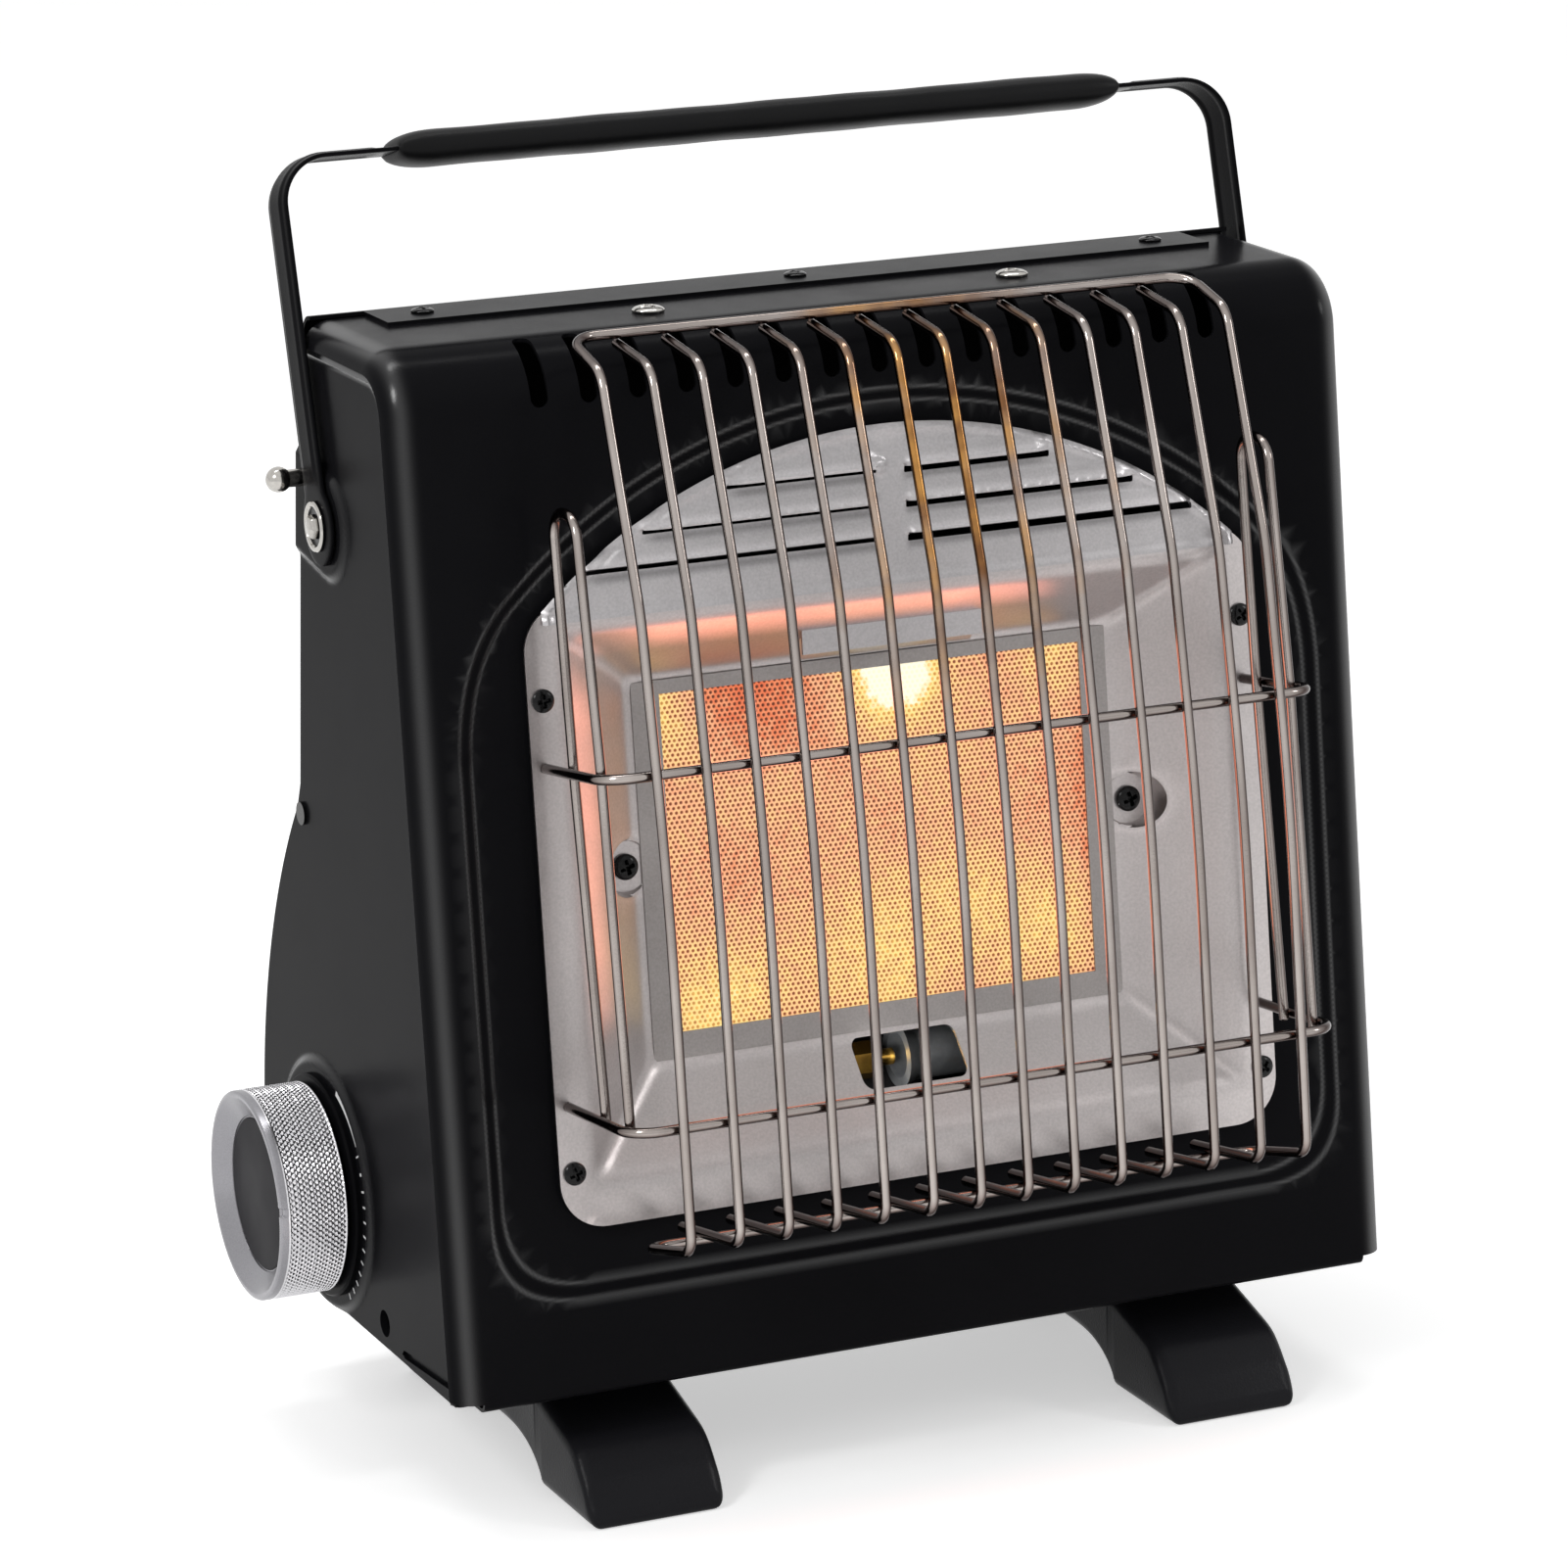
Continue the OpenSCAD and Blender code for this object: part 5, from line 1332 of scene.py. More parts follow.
@dataclass(frozen=True)
class Plaque:
    """The glowing ceramic plaque, whose face is a field of small knobs between pores."""

    half: float = 60.0
    low: float = 82.0
    high: float = 172.5
    front: float = 17.1
    thickness: float = 12.0
    pitch: float = 1.4
    relief: float = 0.6
    wobble: float = 0.09

    def build(self, shop: Workshop) -> None:
        """Makes the plaque.

        A pore's bottom is near the centre of each six-sided cell of a lattice, sunk by the
        relief. Six triangles join it to the cell's corners, which lie on the face. A sine
        of the cell's row and column shifts each pore a little.
        """
        row = self.pitch * math.sqrt(3) / 2
        rows = int((self.high - self.low) / row)
        columns = int(2 * self.half / self.pitch) - 1
        i, k = np.meshgrid(np.arange(rows), np.arange(columns), indexing="ij")
        shift = self.wobble * np.sin(i * 12.9898 + k * 78.233)
        cx = (k - (columns - 1) / 2 + 0.5 * (i % 2) - 0.25) * self.pitch
        cs = self.low + row / 2 + i * row
        angle = np.radians(60 * np.arange(6) + 30)
        reach = self.pitch / math.sqrt(3)
        dx = np.concatenate([[0.0], reach * np.cos(angle)])
        ds = np.concatenate([[0.0], reach * np.sin(angle)])
        sunk = np.array([self.relief] + [0.0] * 6)
        centre = (sunk > 0)[None, None, :] * shift[..., None]
        x = (cx[..., None] + dx + centre).reshape(-1)
        s = (cs[..., None] + ds - centre).reshape(-1)
        d = np.broadcast_to(self.front + sunk, cx.shape + (7,)).reshape(-1)
        cell = np.stack([np.zeros(6, int), 1 + np.arange(6), 1 + (np.arange(6) + 1) % 6], -1)
        faces = (np.arange(cx.size)[:, None, None] * 7 + cell).reshape(-1, 3)
        pores = (FORM.at(x, d, s), faces.tolist())
        across = np.array([-self.half, self.half, self.half, -self.half])
        up = np.array([self.low, self.low, self.high, self.high])
        block = swept(np.stack([FORM.at(across, depth, up) for depth in
                                (self.front + self.thickness, self.front + self.relief)]))
        height = np.tile(1 - sunk / self.relief, cx.size)
        shop.piece("plaque_face", [pores, block], "glowing_ceramic", Body.CABINET,
                   ["ceramic_plaque"],
                   values={"relief": np.concatenate([height, np.full(len(block[0]), 0.2)])})


@dataclass(frozen=True)
class Guard:
    """The wire guard: outer frame, upright wires, two hoops and two hairpin loops."""

    wire: float = 1.3
    count: int = 14
    width: float = 168.0
    rail: Pair = (23.5, 293.3)
    knee: Pair = (3.5, 288.3)
    bow: tuple[Pair, ...] = ((-17.5, 233.0), (-30.5, 170.0))
    belly: Pair = (-40.1, 80.6)
    leg: Pair = (-4.0, 74.2)
    bottom: Pair = (-11.0, 72.76)
    bends: tuple[float, ...] = (8, 60, 500, 4.5)
    foot_bends: tuple[float, ...] = (7, 7)
    join_bend: float = 6.0
    hoop_half: float = 96.0
    hoop_end: float = -1.2
    hoop_bend: float = 8.0
    upper_hoop: Pair = (195.0, 1.5)
    lower_hoop: Pair = (110.0, 0.0)
    loops: tuple[Pair, ...] = (
        (-10.8, 106.5), (4.5, 192), (13.86, 254.5), (-0.84, 254.5), (-13, 195), (-26, 108))
    loop_bends: tuple[float, ...] = (300, 6.5, 6.5, 80)

    def upright(self, x: float, top: Pair) -> list[Triple]:
        """Corners of an upright wire from its top end to the belly."""
        return [(x, *p) for p in (top, self.knee, *self.bow, self.belly)]

    def bow_y(self, z: float) -> float:
        """Y of the upright wires at a height on their two long stretches."""
        a, b = self.bow if z > self.bow[1][1] else (self.bow[1], self.belly)
        return a[0] + (b[0] - a[0]) * (a[1] - z) / (a[1] - b[1])

    def hoop(self, z: float, rise: float) -> Solid:
        """A hoop from flange to flange around the front, whose ends are lower by the rise."""
        y = self.bow_y(z) + 2 * self.wire + 0.4
        d, s = FORM.depth_of(y, z), FORM.height_of(y, z)
        x, end = self.hoop_half, self.hoop_end
        ends = [(-x, end, s - rise), (-x, d, s), (x, d, s), (x, end, s - rise)]
        corners = np.array([FORM.at(*map(np.float64, e)) for e in ends])
        path = Track(corners, (self.hoop_bend, self.hoop_bend)).points()
        return tube(path, self.wire, aim=FORM.up())

    def build(self, shop: Workshop) -> None:
        """Makes every wire in the frame's order."""
        def wires(name: str, solids: Sequence[Solid], node: str) -> None:
            """Makes one piece of wires in place of a CAD node."""
            shop.piece(name, solids, "bright_wire", Body.CABINET, [node])

        half = self.width / 2
        right = self.upright(half, self.rail)
        left = [(-half, p[1], p[2]) for p in right]
        foot = [(x, *self.bottom) for x in (0, -half, half, 0.05)]
        radii = (self.join_bend, *self.bends[::-1], *self.foot_bends, *self.bends, self.join_bend)
        outer = Track(np.array([*foot[:2], *left[::-1], *right, *foot[2:]], float), radii)
        wires("guard_outer_wire", [tube(outer.points(), self.wire)], "guard_frame")
        top = (self.rail[0] + 1, self.rail[1] - 2 * self.wire - 0.05)
        pitch = self.width / (self.count - 1)
        third = (self.count - 2) // 3
        groups = (("left", 1, third), ("middle", third + 1, self.count - 2 - third),
                  ("right", self.count - 1 - third, self.count - 2))
        for name, first, last in groups:
            places = [-half + i * pitch for i in range(first, last + 1)]
            paths = [Track(np.array([*self.upright(x, top), (x, *self.leg)], float), self.bends)
                     for x in places]
            wires(f"upright_wires_{name}",
                  [tube(path.points(), self.wire, aim=(1, 0, 0)) for path in paths],
                  f"guard_bars_{name}")
        wires("upper_hoop_wire", [self.hoop(*self.upper_hoop)], "guard_upper_hoop")
        wires("lower_hoop_wire", [self.hoop(*self.lower_hoop)], "guard_lower_hoop")
        x = self.hoop_half - 2 * self.wire - 0.05
        path = Track(np.array([(x, *p) for p in self.loops], float), self.loop_bends).points()
        loop = tube(path, self.wire, aim=(1, 0, 0))
        wires("hairpin_wires", [loop, mirrored(loop)], "guard_side_loops")


@dataclass(frozen=True)
class Handle:
    """The bail handle: a flat strap with a pressed rib, and a soft grip sleeve."""

    pivot: Pair = (74.5, 242.0)
    lean: float = 15.5
    outer: float = 131.7
    strap: float = 1.4
    width: float = 13.0
    height: float = 91.3
    corner: float = 12.0
    lug: float = 10.0
    rib: float = 0.45
    grip_half: float = 100.0
    grip_taper: float = 13.0
    grip_depth: float = 8.0
    grip_rise: float = 4.5
    tip_depth: float = 6.9
    tip_rise: float = 1.5

    def at(self, x: Array, across: Array, height: Array) -> Array:
        """Places for distance across the heater, along the strap's width and up the arm."""
        c, s = turned(self.lean)
        y, z = self.pivot
        return np.stack(np.broadcast_arrays(
            x, y + across * c + height * s, z - across * s + height * c), -1)

    def build_strap(self, shop: Workshop) -> None:
        """Makes the strap.

        Its middle line is carried up one arm, over the top and down the other. At each
        station the section is a flat bar with round edges whose half width is that of
        the strap, or of the round lug where that is larger.
        """
        mid = self.outer - self.strap / 2
        top = self.height - self.strap / 2
        corners = np.array([[mid, -self.lug + 0.05, 0], [mid, top, 0], [0.0, top, 0]])
        arm = Track(corners, (self.corner,), 16, 1.2)
        half = arm.points()[:, :2]
        path = np.concatenate([half, half[:-1][::-1] * [-1, 1]])
        t = unit(np.gradient(path, axis=0))
        out = np.stack([t[:, 1], -t[:, 0]], -1)
        h = path[:, 1]
        round_lug = np.sqrt(np.maximum(0.04, self.lug ** 2 - h ** 2))
        w = np.where(h < 0, round_lug, np.maximum(self.width / 2, round_lug))
        a = 2 * np.pi * np.arange(64) / 64
        c, s = np.cos(a), np.sin(a)
        across = np.sign(c) * np.abs(c) ** 0.35
        thick = np.sign(s) * np.abs(s) ** 0.5
        place = across * self.width / 2
        rib = self.rib * (crest(place - 3.1, 1.0) + crest(place + 3.1, 1.0))
        clear = smooth_step(9.0, 14.0, h)[:, None]
        offset = thick * self.strap / 2 + rib * clear * (np.abs(path[:, :1]) > 105)
        x = path[:, :1] + out[:, :1] * offset
        up = path[:, 1:] + out[:, 1:] * offset
        rings = self.at(x, w[:, None] * across, up)
        shop.piece("bail_strap", [swept(rings[:, ::-1])], "strap_enamel", Body.HANDLE,
                   ["handle_strap"], crease=50)

    def build_grip(self, shop: Workshop) -> None:
        """Makes the grip: a soft oblong section that shrinks smoothly over each end."""
        half, shoulder = self.grip_half, self.grip_half - self.grip_taper
        end = np.linspace(-half, -shoulder, 22)
        x = np.concatenate([end, np.linspace(3 - shoulder, shoulder - 3, 60), -end[::-1]])
        size = (1 - (1 - np.clip((half - np.abs(x)) / self.grip_taper, 0, 1)) ** 2.6) ** 0.5
        a = 2 * np.pi * np.arange(48) / 48
        c, s = np.cos(a), np.sin(a)
        across = np.sign(c) * np.abs(c) ** 0.75
        rise = np.sign(s) * np.abs(s) ** 0.8
        half_depth = self.tip_depth + (self.grip_depth - self.tip_depth) * size
        half_rise = self.tip_rise + (self.grip_rise - self.tip_rise) * size
        soft = 0.06 * np.sin(x / 9.0) + 0.05 * np.sin(x / 3.7 + 1.0)
        rings = self.at(x[:, None], (half_depth + soft)[:, None] * across,
                        self.height - self.strap / 2 + (half_rise + soft)[:, None] * rise)
        shop.piece("grip_sleeve", [swept(rings)], "grip_rubber", Body.HANDLE,
                   ["handle_grip"], crease=50)

    def build(self, shop: Workshop) -> None:
        """Makes the strap and the grip."""
        self.build_strap(shop)
        self.build_grip(shop)


@dataclass(frozen=True)
class Knob:
    """The gas knob: a knurled aluminium ring whose face falls to a dark disc."""

    axis: Pair = (93.0, 65.5)
    back: float = 132.8
    face: float = 151.0
    radius: float = 27.1
    mouth: float = 25.5
    cap: float = 19.9
    recess: float = 3.6
    teeth: int = 112
    tooth: float = 0.42
    notch_angle: float = -83.0
    scale_radius: float = 31.3
    scale_layers: Pair = (129.9, 130.03)
    dot: Quad = (20.0, 21.5, 30.2, 31.2)
    long_tick: Quad = (29.0, 29.8, 29.7, 31.4)
    tick_inner: float = 29.7
    tick_turns: Triple = (-12.0, 62.0, 7.5)
    band_turns: Pair = (66.0, 34.0)
    band_widths: Pair = (0.15, 1.5)

    def place(self, x: float = 0.0) -> Place:
        """The knob's axis, pointing out of the left side."""
        return Place((-x, *self.axis), (-1, 0, 0), (0, 0, 1))

    def build_ring(self, shop: Workshop) -> None:
        """Makes the ring.

        The knurl lowers the ring's skin by tooth (1 - m), where m is the smaller of two
        triangle waves that climb round the ring in opposite screws. It fades out at both
        ends of the knurled band. A notch is cut across the rim of the face.
        """
        low, high, rows = self.back + 0.6, self.face - 2.6, 65
        band = np.linspace(low, high, rows)
        start = [[8.0, self.back], [self.radius - 1.0, self.back],
                 [self.radius - 0.3, self.back + 0.2]]
        insets = [(0.0, 2.35), (0.05, 2.1), (0.05, 0.7), (0.2, 0.35), (0.6, 0.08), (1.0, 0.0)]
        end = [[self.radius - inset, self.face - below] for inset, below in insets]
        end += [[self.mouth - inset, self.face - below]
                for inset, below in ((-0.1, 0.0), (0.15, 0.12), (0.5, 0.4))]
        seat = self.face - self.recess
        end += [[self.cap + 0.5, seat + 0.35], [self.cap + 0.2, seat + 0.05],
                [self.cap + 0.12, seat - 0.3], [0.4, seat - 0.3]]
        profile = np.concatenate([start, np.stack([np.full(rows, self.radius), band], -1), end])
        c, s = turned(self.notch_angle)

        def knurl(rings: Array) -> Array:
            """Cuts the two crossing screws of grooves and the notch."""
            x, y, z = rings[..., 0], rings[..., 1], rings[..., 2]
            r = np.hypot(x, y)
            turn = np.arctan2(y, x) / (2 * np.pi) * self.teeth
            climb = z / (2 * np.pi * self.radius / self.teeth) * 0.9
            top = np.minimum(triangle_wave(turn + climb), triangle_wave(turn - climb))
            cut = self.tooth * (1 - np.minimum(1.0, top * 1.5))
            on = smooth_step(low, low + 0.3, z) * smooth_step(high + 0.05, high - 0.3, z)
            on = on * (r > self.radius - 0.04)
            along, across = x * c + y * s, y * c - x * s
            notch = smooth_step(1.2, 0.7, np.abs(across)) * (along > 0) * (r > self.mouth - 0.4)
            share = (r - cut * on) / np.maximum(r, 1e-9)
            sunk = smooth_step(high + 0.2, high + 1.6, z)
            return np.stack([x * share, y * share, z - 0.9 * notch * sunk], -1)

        count = self.teeth * 6
        solid = self.place().put(lathed(profile, count, knurl))
        ring = shop.piece("knob_ring", [solid], "knob_aluminium", Body.KNOB,
                          ["control_knob"], 28.0)
        ring.data.materials.append(shop.palette["knurl_aluminium"])
        finish = np.zeros(len(ring.data.polygons), np.int32)
        finish[len(start) * count:(len(start) + rows + 1) * count] = 1
        ring.data.polygons.foreach_set("material_index", finish)

    def build_marks(self, shop: Workshop) -> None:
        """Prints a plain scale beside the collar: a dot, a growing band and short ticks."""
        ticks = [(-a, 1.0 - a, self.tick_inner, self.scale_radius)
                 for a in np.arange(*self.tick_turns)]
        marks = []
        for first, last, inner, outer in (self.dot, self.long_tick, *ticks):
            turn = np.radians(np.linspace(first, last, 4))
            marks.append(self.mark(turn, np.full(4, inner), outer))
        turn = np.radians(np.linspace(*self.band_turns, 24))
        width = np.linspace(*self.band_widths, 24)[::-1]
        marks.append(self.mark(turn[::-1], (self.scale_radius - width)[::-1], self.scale_radius))
        shop.piece("dial_scale", marks, "dial_print", Body.CABINET)

    def mark(self, turn: Array, inner: Array, outer: float) -> Solid:
        """A thin printed stripe on the pad.

        Args:
            turn: Angles along the stripe, as seen from the left.
            inner: Inner radius at each angle.
            outer: Outer radius.

        Returns:
            The stripe as a closed solid.
        """
        way = np.stack([np.cos(turn), np.sin(turn)], -1)
        outline = np.concatenate([outer * way, inner[::-1, None] * way[::-1]])
        y, z = self.axis[0] - outline[:, 0], self.axis[1] + outline[:, 1]
        return swept(np.stack([np.stack([np.full(len(y), -x), y, z], -1)
                               for x in self.scale_layers]))

    def build(self, shop: Workshop) -> None:
        """Makes the ring, the disc in it, the dial scale and the collar behind it."""
        self.build_ring(shop)
        rim = self.cap - 0.12
        disc = lathed(np.array([[0.3, -1.2], [rim - 0.2, -1.2], [rim, -1.0], [rim, -0.3],
                                [rim - 0.3, -0.05], [rim - 0.6, 0.0], [0.3, 0.0]]), 96)
        shop.piece("knob_disc", [self.place(self.face - self.recess).put(disc)], "cap_lacquer",
                   Body.KNOB, ["knob_cap"])
        self.build_marks(shop)
        bezel = np.array([[6.0, 130.0], [28.9, 130.0], [28.9, 131.2], [28.4, 131.8],
                          [26.5, 132.0], [6.0, 132.0]])
        shop.piece("knob_collar", [self.place().put(lathed(bezel, 96))], "bezel_plastic",
                   Body.CABINET, ["knob_bezel"])


@dataclass(frozen=True)
class Foot:
    """A skid foot: a moulded arch with round edges."""

    name: str
    node: str
    middle: float
    width: float = 36.5
    start: float = -8.0
    length: float = 130.0
    pad: float = 33.0
    arch: float = 10.0
    rounding: float = 3.6
    shoulder: tuple[Pair, ...] = (
        (0, 2.3), (0.5, 4.6), (4.6, 11.0), (9.6, 16.6), (12, 18.6), (15, 19.8), (34, 25.0),
        (36, 27.0), (37, 32.2))
    toe: tuple[Pair, ...] = ((0, 1.7), (0.3, 0.6), (0.9, 0.15), (1.8, 0.0))

    def build(self, shop: Workshop) -> None:
        """Makes the foot.

        A round-cornered section is carried along the foot between its lower and its upper
        side, which follow the toe's and the shoulder's heights by distance from the end.
        The arch rises as (1 - |t| to the power 3.2) to the power 0.8 over t from -1 to 1.
        """
        h = self.length / 2
        tip = np.array([0.02, 0.06, 0.15, 0.3, 0.55, 0.9, 1.3, 1.8, 2.6, 3.6])
        front = np.concatenate([tip, np.linspace(4.6, 33.0, 26), np.linspace(33.6, 38.0, 18),
                                np.linspace(39, h, 32)])
        away = np.concatenate([front, 2 * h - front[:-1][::-1]])
        inset = np.minimum(away, 2 * h - away)
        upper = np.interp(inset, *np.array(self.shoulder).T)
        soft = np.convolve(np.pad(upper, 2, "edge"), [0.1, 0.2, 0.4, 0.2, 0.1], "valid")
        upper = np.where((inset > 5) & (inset < 32), soft, upper)
        lower = np.interp(inset, *np.array(self.toe).T)
        t = np.clip(np.abs(away - h) / (h - self.pad), 0, 1)
        lower = np.maximum(lower, self.arch * (1 - t ** 3.2) ** 0.8 * (t < 1))
        near_end = np.clip(inset / self.rounding, 0, 1)
        half = self.width / 2 - self.rounding * (1 - np.sqrt(1 - (1 - near_end) ** 2)) * 0.6
        r = np.minimum(self.rounding, 0.48 * (upper - lower))
        turn = np.radians(np.concatenate([np.linspace(a, a + 90, 7) for a in (-90, 0, 90, 180)]))
        sx = np.repeat([1, 1, -1, -1], 7)
        sz = np.repeat([0, 1, 1, 0], 7)
        x = self.middle + sx * (half - r)[:, None] + r[:, None] * np.cos(turn)
        base = np.where(sz > 0, (upper - r)[:, None], (lower + r)[:, None])
        z = base + r[:, None] * np.sin(turn)
        y = np.broadcast_to((self.start + away)[:, None], x.shape)
        shop.piece(self.name, [swept(np.stack([x, y, z], -1)[::-1])], "foot_plastic",
                   Body.CABINET, [self.node], crease=40)


@dataclass(frozen=True)
class ScrewHead:
    """A domed screw head with a shank behind it.

    Attributes:
        radius: Radius of the head.
        rise: Height of the head.
        shank: Radius of the shank.
        length: Length of the shank.
    """

    radius: float
    rise: float
    shank: float
    length: float

    def solid(self) -> Solid:
        """The screw about Z, with its head above zero.

        The head's height falls with the square of the radius. A cross is sunk where the
        smaller of |x| and |y| is less than an arm's half width and the larger is less
        than its length, with steep smooth walls.
        """
        r = self.radius
        q = np.linspace(1, 0.015, 26)
        head = np.stack([r * q, self.rise * (1 - 0.35 * q ** 2 - 0.25 * q ** 8)], -1)
        profile = np.concatenate([[[self.shank, -self.length], [self.shank, 0], [r * 0.98, 0],
                                   [r, self.rise * 0.12]], head])

        def recess(rings: Array) -> Array:
            """Sinks the cross."""
            x, y, z = rings[..., 0], rings[..., 1], rings[..., 2]
            small = np.minimum(np.abs(x), np.abs(y))
            large = np.maximum(np.abs(x), np.abs(y))
            arms = smooth_step(0.17 * r, 0.09 * r, small) * smooth_step(0.62 * r, 0.46 * r, large)
            depth = self.rise * 0.75 * arms * (z > self.rise * 0.3)
            return np.stack([x, y, z - depth], -1)

        return lathed(profile, 56, recess)


@dataclass(frozen=True)
class Fasteners:
    """The visible screws, the handle's pivots and its stop pins."""

    flange: ScrewHead = ScrewHead(2.9, 1.5, 1.5, 5)
    flange_spots: tuple[Triple, ...] = (
        (-95.6, 57.0, 0.3), (95.6, 57.0, 0.9), (-95.6, 174.6, 0.1), (95.6, 174.6, 0.6))
    burner: ScrewHead = ScrewHead(3.3, 2.2, 1.9, 5)
    burner_spots: tuple[Pair, ...] = ((-69.9, 128.0), (69.9, 128.0))
    silver: ScrewHead = ScrewHead(4.1, 1.7, 1.9, 5)
    silver_spots: tuple[Pair, ...] = ((-50.0, 54.5), (50.0, 54.5))
    dark: ScrewHead = ScrewHead(2.9, 1.1, 1.4, 5)
    dark_spots: tuple[Pair, ...] = ((-101.0, 77.0), (0.0, 77.0), (101.0, 77.0))
    rear_spots: tuple[Pair, ...] = (
        (-122.7, 185.5), (-122.7, 242.0), (122.7, 185.5), (122.7, 242.0))
    pivot: Triple = (131.75, 74.5, 242.0)
    pivot_sides: int = 72
    pivot_groove: tuple[int, int] = (8, 12)

    def pivot_screw(self) -> Solid:
        """A shoulder screw: a washer ring, a sunk groove and a domed six-sided middle.

        In the middle the radius is multiplied by 0.9 / cos(a), where a is the angle to the
        nearest side's own direction, which turns the ring into a hexagon.
        """
        profile = np.array([
            [2.4, -9], [2.4, 0], [6.1, 0], [6.35, 0.25], [6.4, 0.6], [6.2, 0.95], [5.7, 1.1],
            [5.2, 0.95], [4.9, 0.5], [4.7, 0.15], [4.4, 0.1], [3.1, 0.1], [2.95, 0.5],
            [2.9, 1.5], [2.6, 1.95], [2.0, 2.2], [1.1, 2.35], [0.05, 2.4]])

        def six_sided(rings: Array) -> Array:
            """Makes the middle six-sided."""
            x, y, z = rings[..., 0], rings[..., 1], rings[..., 2]
            r, a = np.hypot(x, y), np.arctan2(y, x)
            side = np.mod(a, math.pi / 3) - math.pi / 6
            share = np.where((r < 3.2) & (z > 0.05), 0.9 / np.cos(side), 1.0)
            return np.stack([x * share, y * share, z], -1)

        return lathed(profile, self.pivot_sides, six_sided)

    def on_face(self, x: float, depth: float, s: float, side: Sequence[float]) -> Place:
        """A place on the leaning face."""
        spot = FORM.at(np.float64(x), np.float64(depth), np.float64(s))
        return Place(tuple(spot), FORM.out(), side)

    def build(self, shop: Workshop) -> None:
        """Makes each set in place of its CAD node."""
        flange = [self.on_face(x, -0.8, s, (math.cos(turn), 0, math.sin(turn)))
                  for x, s, turn in self.flange_spots]
        burner = [self.on_face(x, 16.9, s, (1, 0.2 * x / 70, 0.3)) for x, s in self.burner_spots]
        silver = [Place((x, y, FORM.top_z), (0, 0, 1), (1, 0.35, 0)) for x, y in self.silver_spots]
        dark = [Place((x, y, FORM.rear[1]), (0, 0, 1), (1, 0.2 * i, 0))
                for i, (x, y) in enumerate(self.dark_spots)]
        dark += [Place((x, FORM.rear_y(z), z), (0, *turned(FORM.rear_lean)))
                 for x, z in self.rear_spots]
        for name, head, places, finish, slot, node in (
            ("flange_screw_set", self.flange, flange, "black_screw", "black_screws",
             "flange_screws"),
            ("burner_screw_set", self.burner, burner, "black_screw", "black_screws",
             "burner_screws"),
            ("top_screw_set", self.silver, silver, "bright_steel", "bright_steel",
             "baffle_screws"),
            ("cover_screw_set", self.dark, dark, "black_screw", "black_screws",
             "rear_cover_screws"),
        ):
            shop.piece(name, [place.put(head.solid()) for place in places], finish, Body.CABINET,
                       [node])
        x, y, z = self.pivot
        places = [Place((side * x, y, z), (side, 0, 0), (0, 0.4, 1)) for side in (-1, 1)]
        pivots = shop.piece("pivot_screw_set", [place.put(self.pivot_screw()) for place in places],
                            "bright_steel", Body.CABINET, ["handle_pivot_screws"])
        pivots.data.materials.append(shop.palette["black_screw"])
        count = len(pivots.data.polygons)
        row = np.arange(count) % (count // 2) // self.pivot_sides
        groove = (row >= self.pivot_groove[0]) & (row < self.pivot_groove[1])
        pivots.data.polygons.foreach_set("material_index", groove.astype(np.int32))
        shop.dress("bright_steel", "handle_stop_pins", "handle_pivot_nuts", "foot_screws",
                   "valve_stem", "spark_electrode", "door_catch")
        shop.dress("black_screw", "door_hinge_pins")


@dataclass(frozen=True)
class InnerWorks:
    """The rear sheets and what works inside, which keep their CAD shapes.

    Attributes:
        finishes: Each finish and the CAD nodes that take it.
    """

    finishes: tuple[tuple[str, ...], ...] = (
        ("cabinet_enamel", "rear_cover", "base_plate", "cartridge_door"),
        ("dark_inner_steel", "burner_housing", "heat_shield", "top_baffle"),
        ("sheet_steel", "cartridge_cradle"),
        ("die_cast", "mixing_tube", "regulator_body"),
        ("nozzle_brass", "gas_nozzle"),
        ("pipe_copper", "supply_pipe"),
        ("cartridge_paint", "gas_cartridge"),
        ("mineral_gasket", "plaque_gasket"),
        ("white_ceramic", "electrode_insulator"),
        ("white_plastic", "piezo_igniter", "igniter_wire"))

    def build(self, shop: Workshop) -> None:
        """Gives each CAD node its finish."""
        for finish, *nodes in self.finishes:
            shop.dress(finish, *nodes)


# ---- the studio ----


@dataclass(frozen=True)
class Softbox:
    """A soft lamp.

    Attributes:
        name: The lamp's name.
        at: Its place in metres.
        toward: The point that it faces.
        size: Its width and height.
        glow: How bright its face is, where white paper in plain light is 1.
        colour: Colour of its light.
    """

    name: str
    at: Triple
    toward: Triple
    size: Pair
    glow: float
    colour: Triple = (1.0, 1.0, 1.0)

    def light(self) -> None:
        """Adds the lamp. Its power is pi times its area times its glow."""
        data = bpy.data.lights.new(self.name, "AREA")
        data.shape = "RECTANGLE"
        data.size, data.size_y = self.size
        data.energy = math.pi * self.size[0] * self.size[1] * self.glow
        data.color = self.colour
        lamp = added(self.name, data)
        way = (Vector(self.toward) - Vector(self.at)).to_track_quat("-Z", "Y").to_matrix()
        lamp.matrix_world = Matrix.Translation(Vector(self.at)) @ way.to_4x4()
        lamp.visible_camera = False


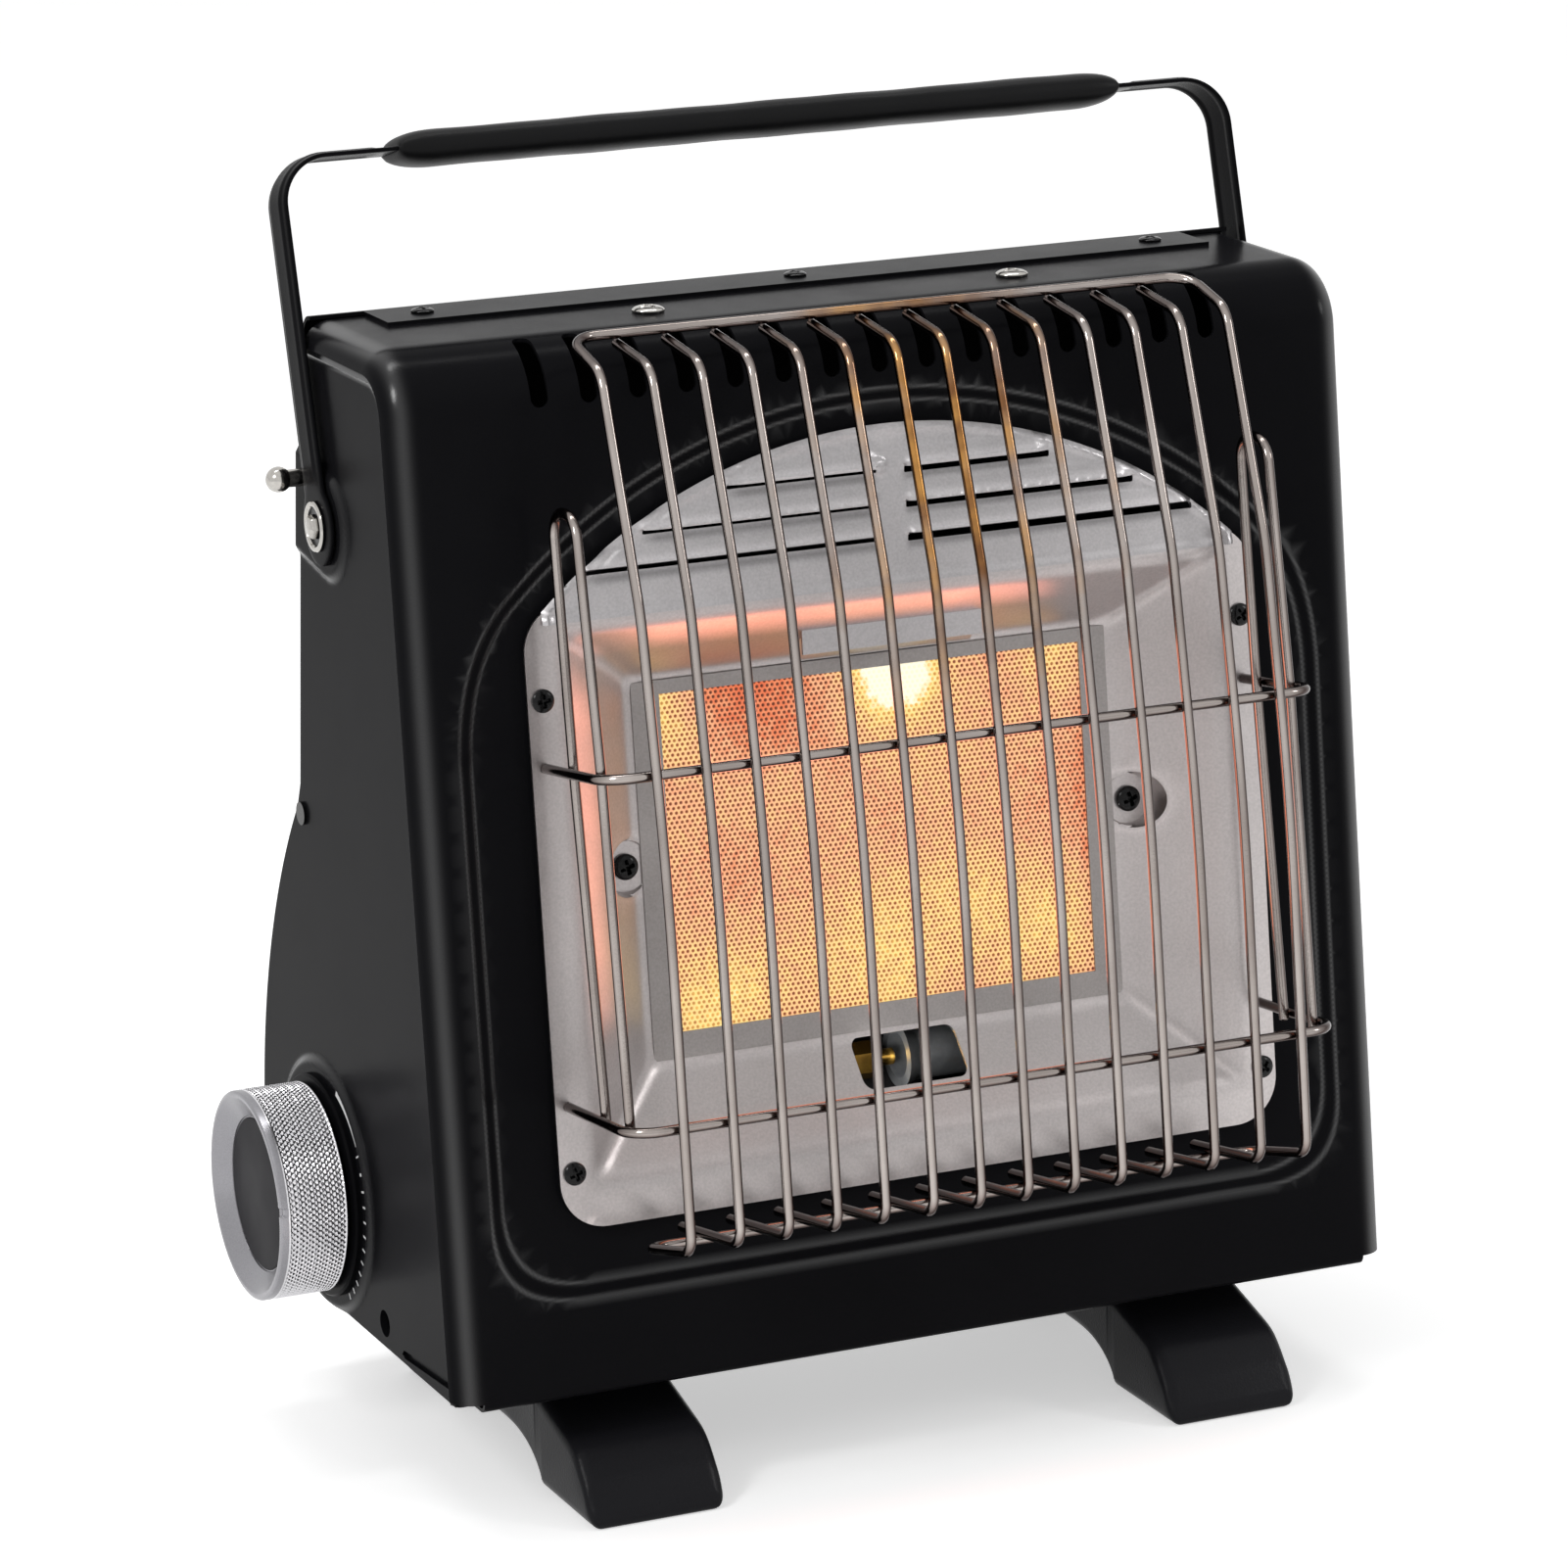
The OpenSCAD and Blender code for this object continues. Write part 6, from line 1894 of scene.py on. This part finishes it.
@dataclass(frozen=True)
class Studio:
    """The pale room, its lamps and the camera."""

    lens: float = 146.78
    sensor: float = 36.0
    place: Triple = (-0.64711, -1.43142, 0.58360)
    azimuth: float = -0.4176
    elevation: float = 0.2596
    roll: float = 0.0181
    floor_half: float = 6.0
    floor_lift: float = 0.5
    room_light: float = 0.55

    def camera(self) -> None:
        """Sets the camera from its azimuth, elevation and roll in radians."""
        a, e = self.azimuth, self.elevation
        ahead = np.array([-math.sin(a) * math.cos(e), math.cos(a) * math.cos(e), -math.sin(e)])
        right = np.array([math.cos(a), math.sin(a), 0.0])
        down = np.cross(ahead, right)
        c, s = math.cos(self.roll), math.sin(self.roll)
        x, y = c * right + s * down, s * right - c * down
        data = bpy.data.cameras.new("camera")
        data.lens, data.sensor_width = self.lens, self.sensor
        data.clip_start, data.clip_end = 0.05, 50.0
        camera = added("camera", data)
        turn = Matrix(np.stack([x, y, -ahead], -1).tolist()).to_4x4()
        camera.matrix_world = Matrix.Translation(Vector(self.place)) @ turn
        bpy.context.scene.camera = camera

    def seen(self, g: Graph) -> bpy.types.NodeSocket:
        """1 for the rays of the camera, of reflections and of glass."""
        path = g.node("LightPath")
        both = g.math("MAXIMUM", path.outputs["Is Camera Ray"], path.outputs["Is Glossy Ray"])
        return g.math("MAXIMUM", both, path.outputs["Is Transmission Ray"])

    def room(self) -> None:
        """Makes the pale floor and the white surroundings, which light less than they show."""
        h = self.floor_half
        mesh = bpy.data.meshes.new("floor")
        mesh.from_pydata([(-h, -h, 0), (h, -h, 0), (h, h, 0), (-h, h, 0)], [], [(0, 1, 2, 3)])
        g = Graph(bpy.data.materials.new("floor_white"))
        lift = g.math("MULTIPLY", self.seen(g), self.floor_lift)
        mesh.materials.append(g.surface(
            Base_Color=(0.86, 0.86, 0.86, 1), Roughness=0.9, Specular_IOR_Level=0.1,
            Emission_Color=(1, 1, 1, 1), Emission_Strength=lift))
        added("floor", mesh)
        g = Graph(bpy.data.worlds.new("surroundings"))
        level = g.spread(self.seen(g), self.room_light, 1.0, 0.0, 1.0)
        back = g.node("Background", Color=(1, 1, 1, 1), Strength=level)
        g.node("OutputWorld", Surface=back.outputs[0])
        bpy.context.scene.world = g.owner

    def lamps(self) -> None:
        """Adds the softboxes and the glow of the plaque."""
        for lamp in (
            Softbox("key", (-1.3, -0.6, 1.2), (0, 0, 0.15), (0.3, 0.5), 16.0),
            Softbox("fill", (1.2, -0.9, 0.9), (0, 0, 0.15), (0.25, 0.4), 9.0),
            Softbox("over", (0.0, 0.25, 1.5), (0, 0, 0.2), (1.3, 0.16), 8.5),
            Softbox("plaque_glow", (0.0055, -0.0285, 0.157), (0.0055, -0.4, 0.197),
                    (0.112, 0.084), 4.2, (1.0, 0.35, 0.25)),
            Softbox("nozzle_light", (-0.008, -0.0262, 0.0985), (0.004, 0.01, 0.0975),
                    (0.02, 0.008), 80.0),
        ):
            lamp.light()

    def build(self) -> None:
        """Sets up the whole studio."""
        self.camera()
        self.room()
        self.lamps()
        bpy.context.scene.view_settings.view_transform = "Standard"


def main() -> None:
    """Builds the studio and every sub-assembly in order."""
    logging.basicConfig(level=logging.INFO, format="%(name)s %(message)s")
    Studio().build()
    shop = Workshop(build_palette())
    for part in (
        FrontCasing(),
        SidePanel("left_wall", "left_side_panel", -1.0),
        SidePanel("right_wall", "right_side_panel", 1.0),
        Reflector(),
        Plaque(),
        Guard(),
        Handle(),
        Knob(),
        Foot("left_skid", "left_foot", -80.7),
        Foot("right_skid", "right_foot", 80.7),
        Fasteners(),
        InnerWorks(),
    ):
        part.build(shop)
        log.info("%s done", type(part).__name__)


if __name__ == "__main__":
    main()
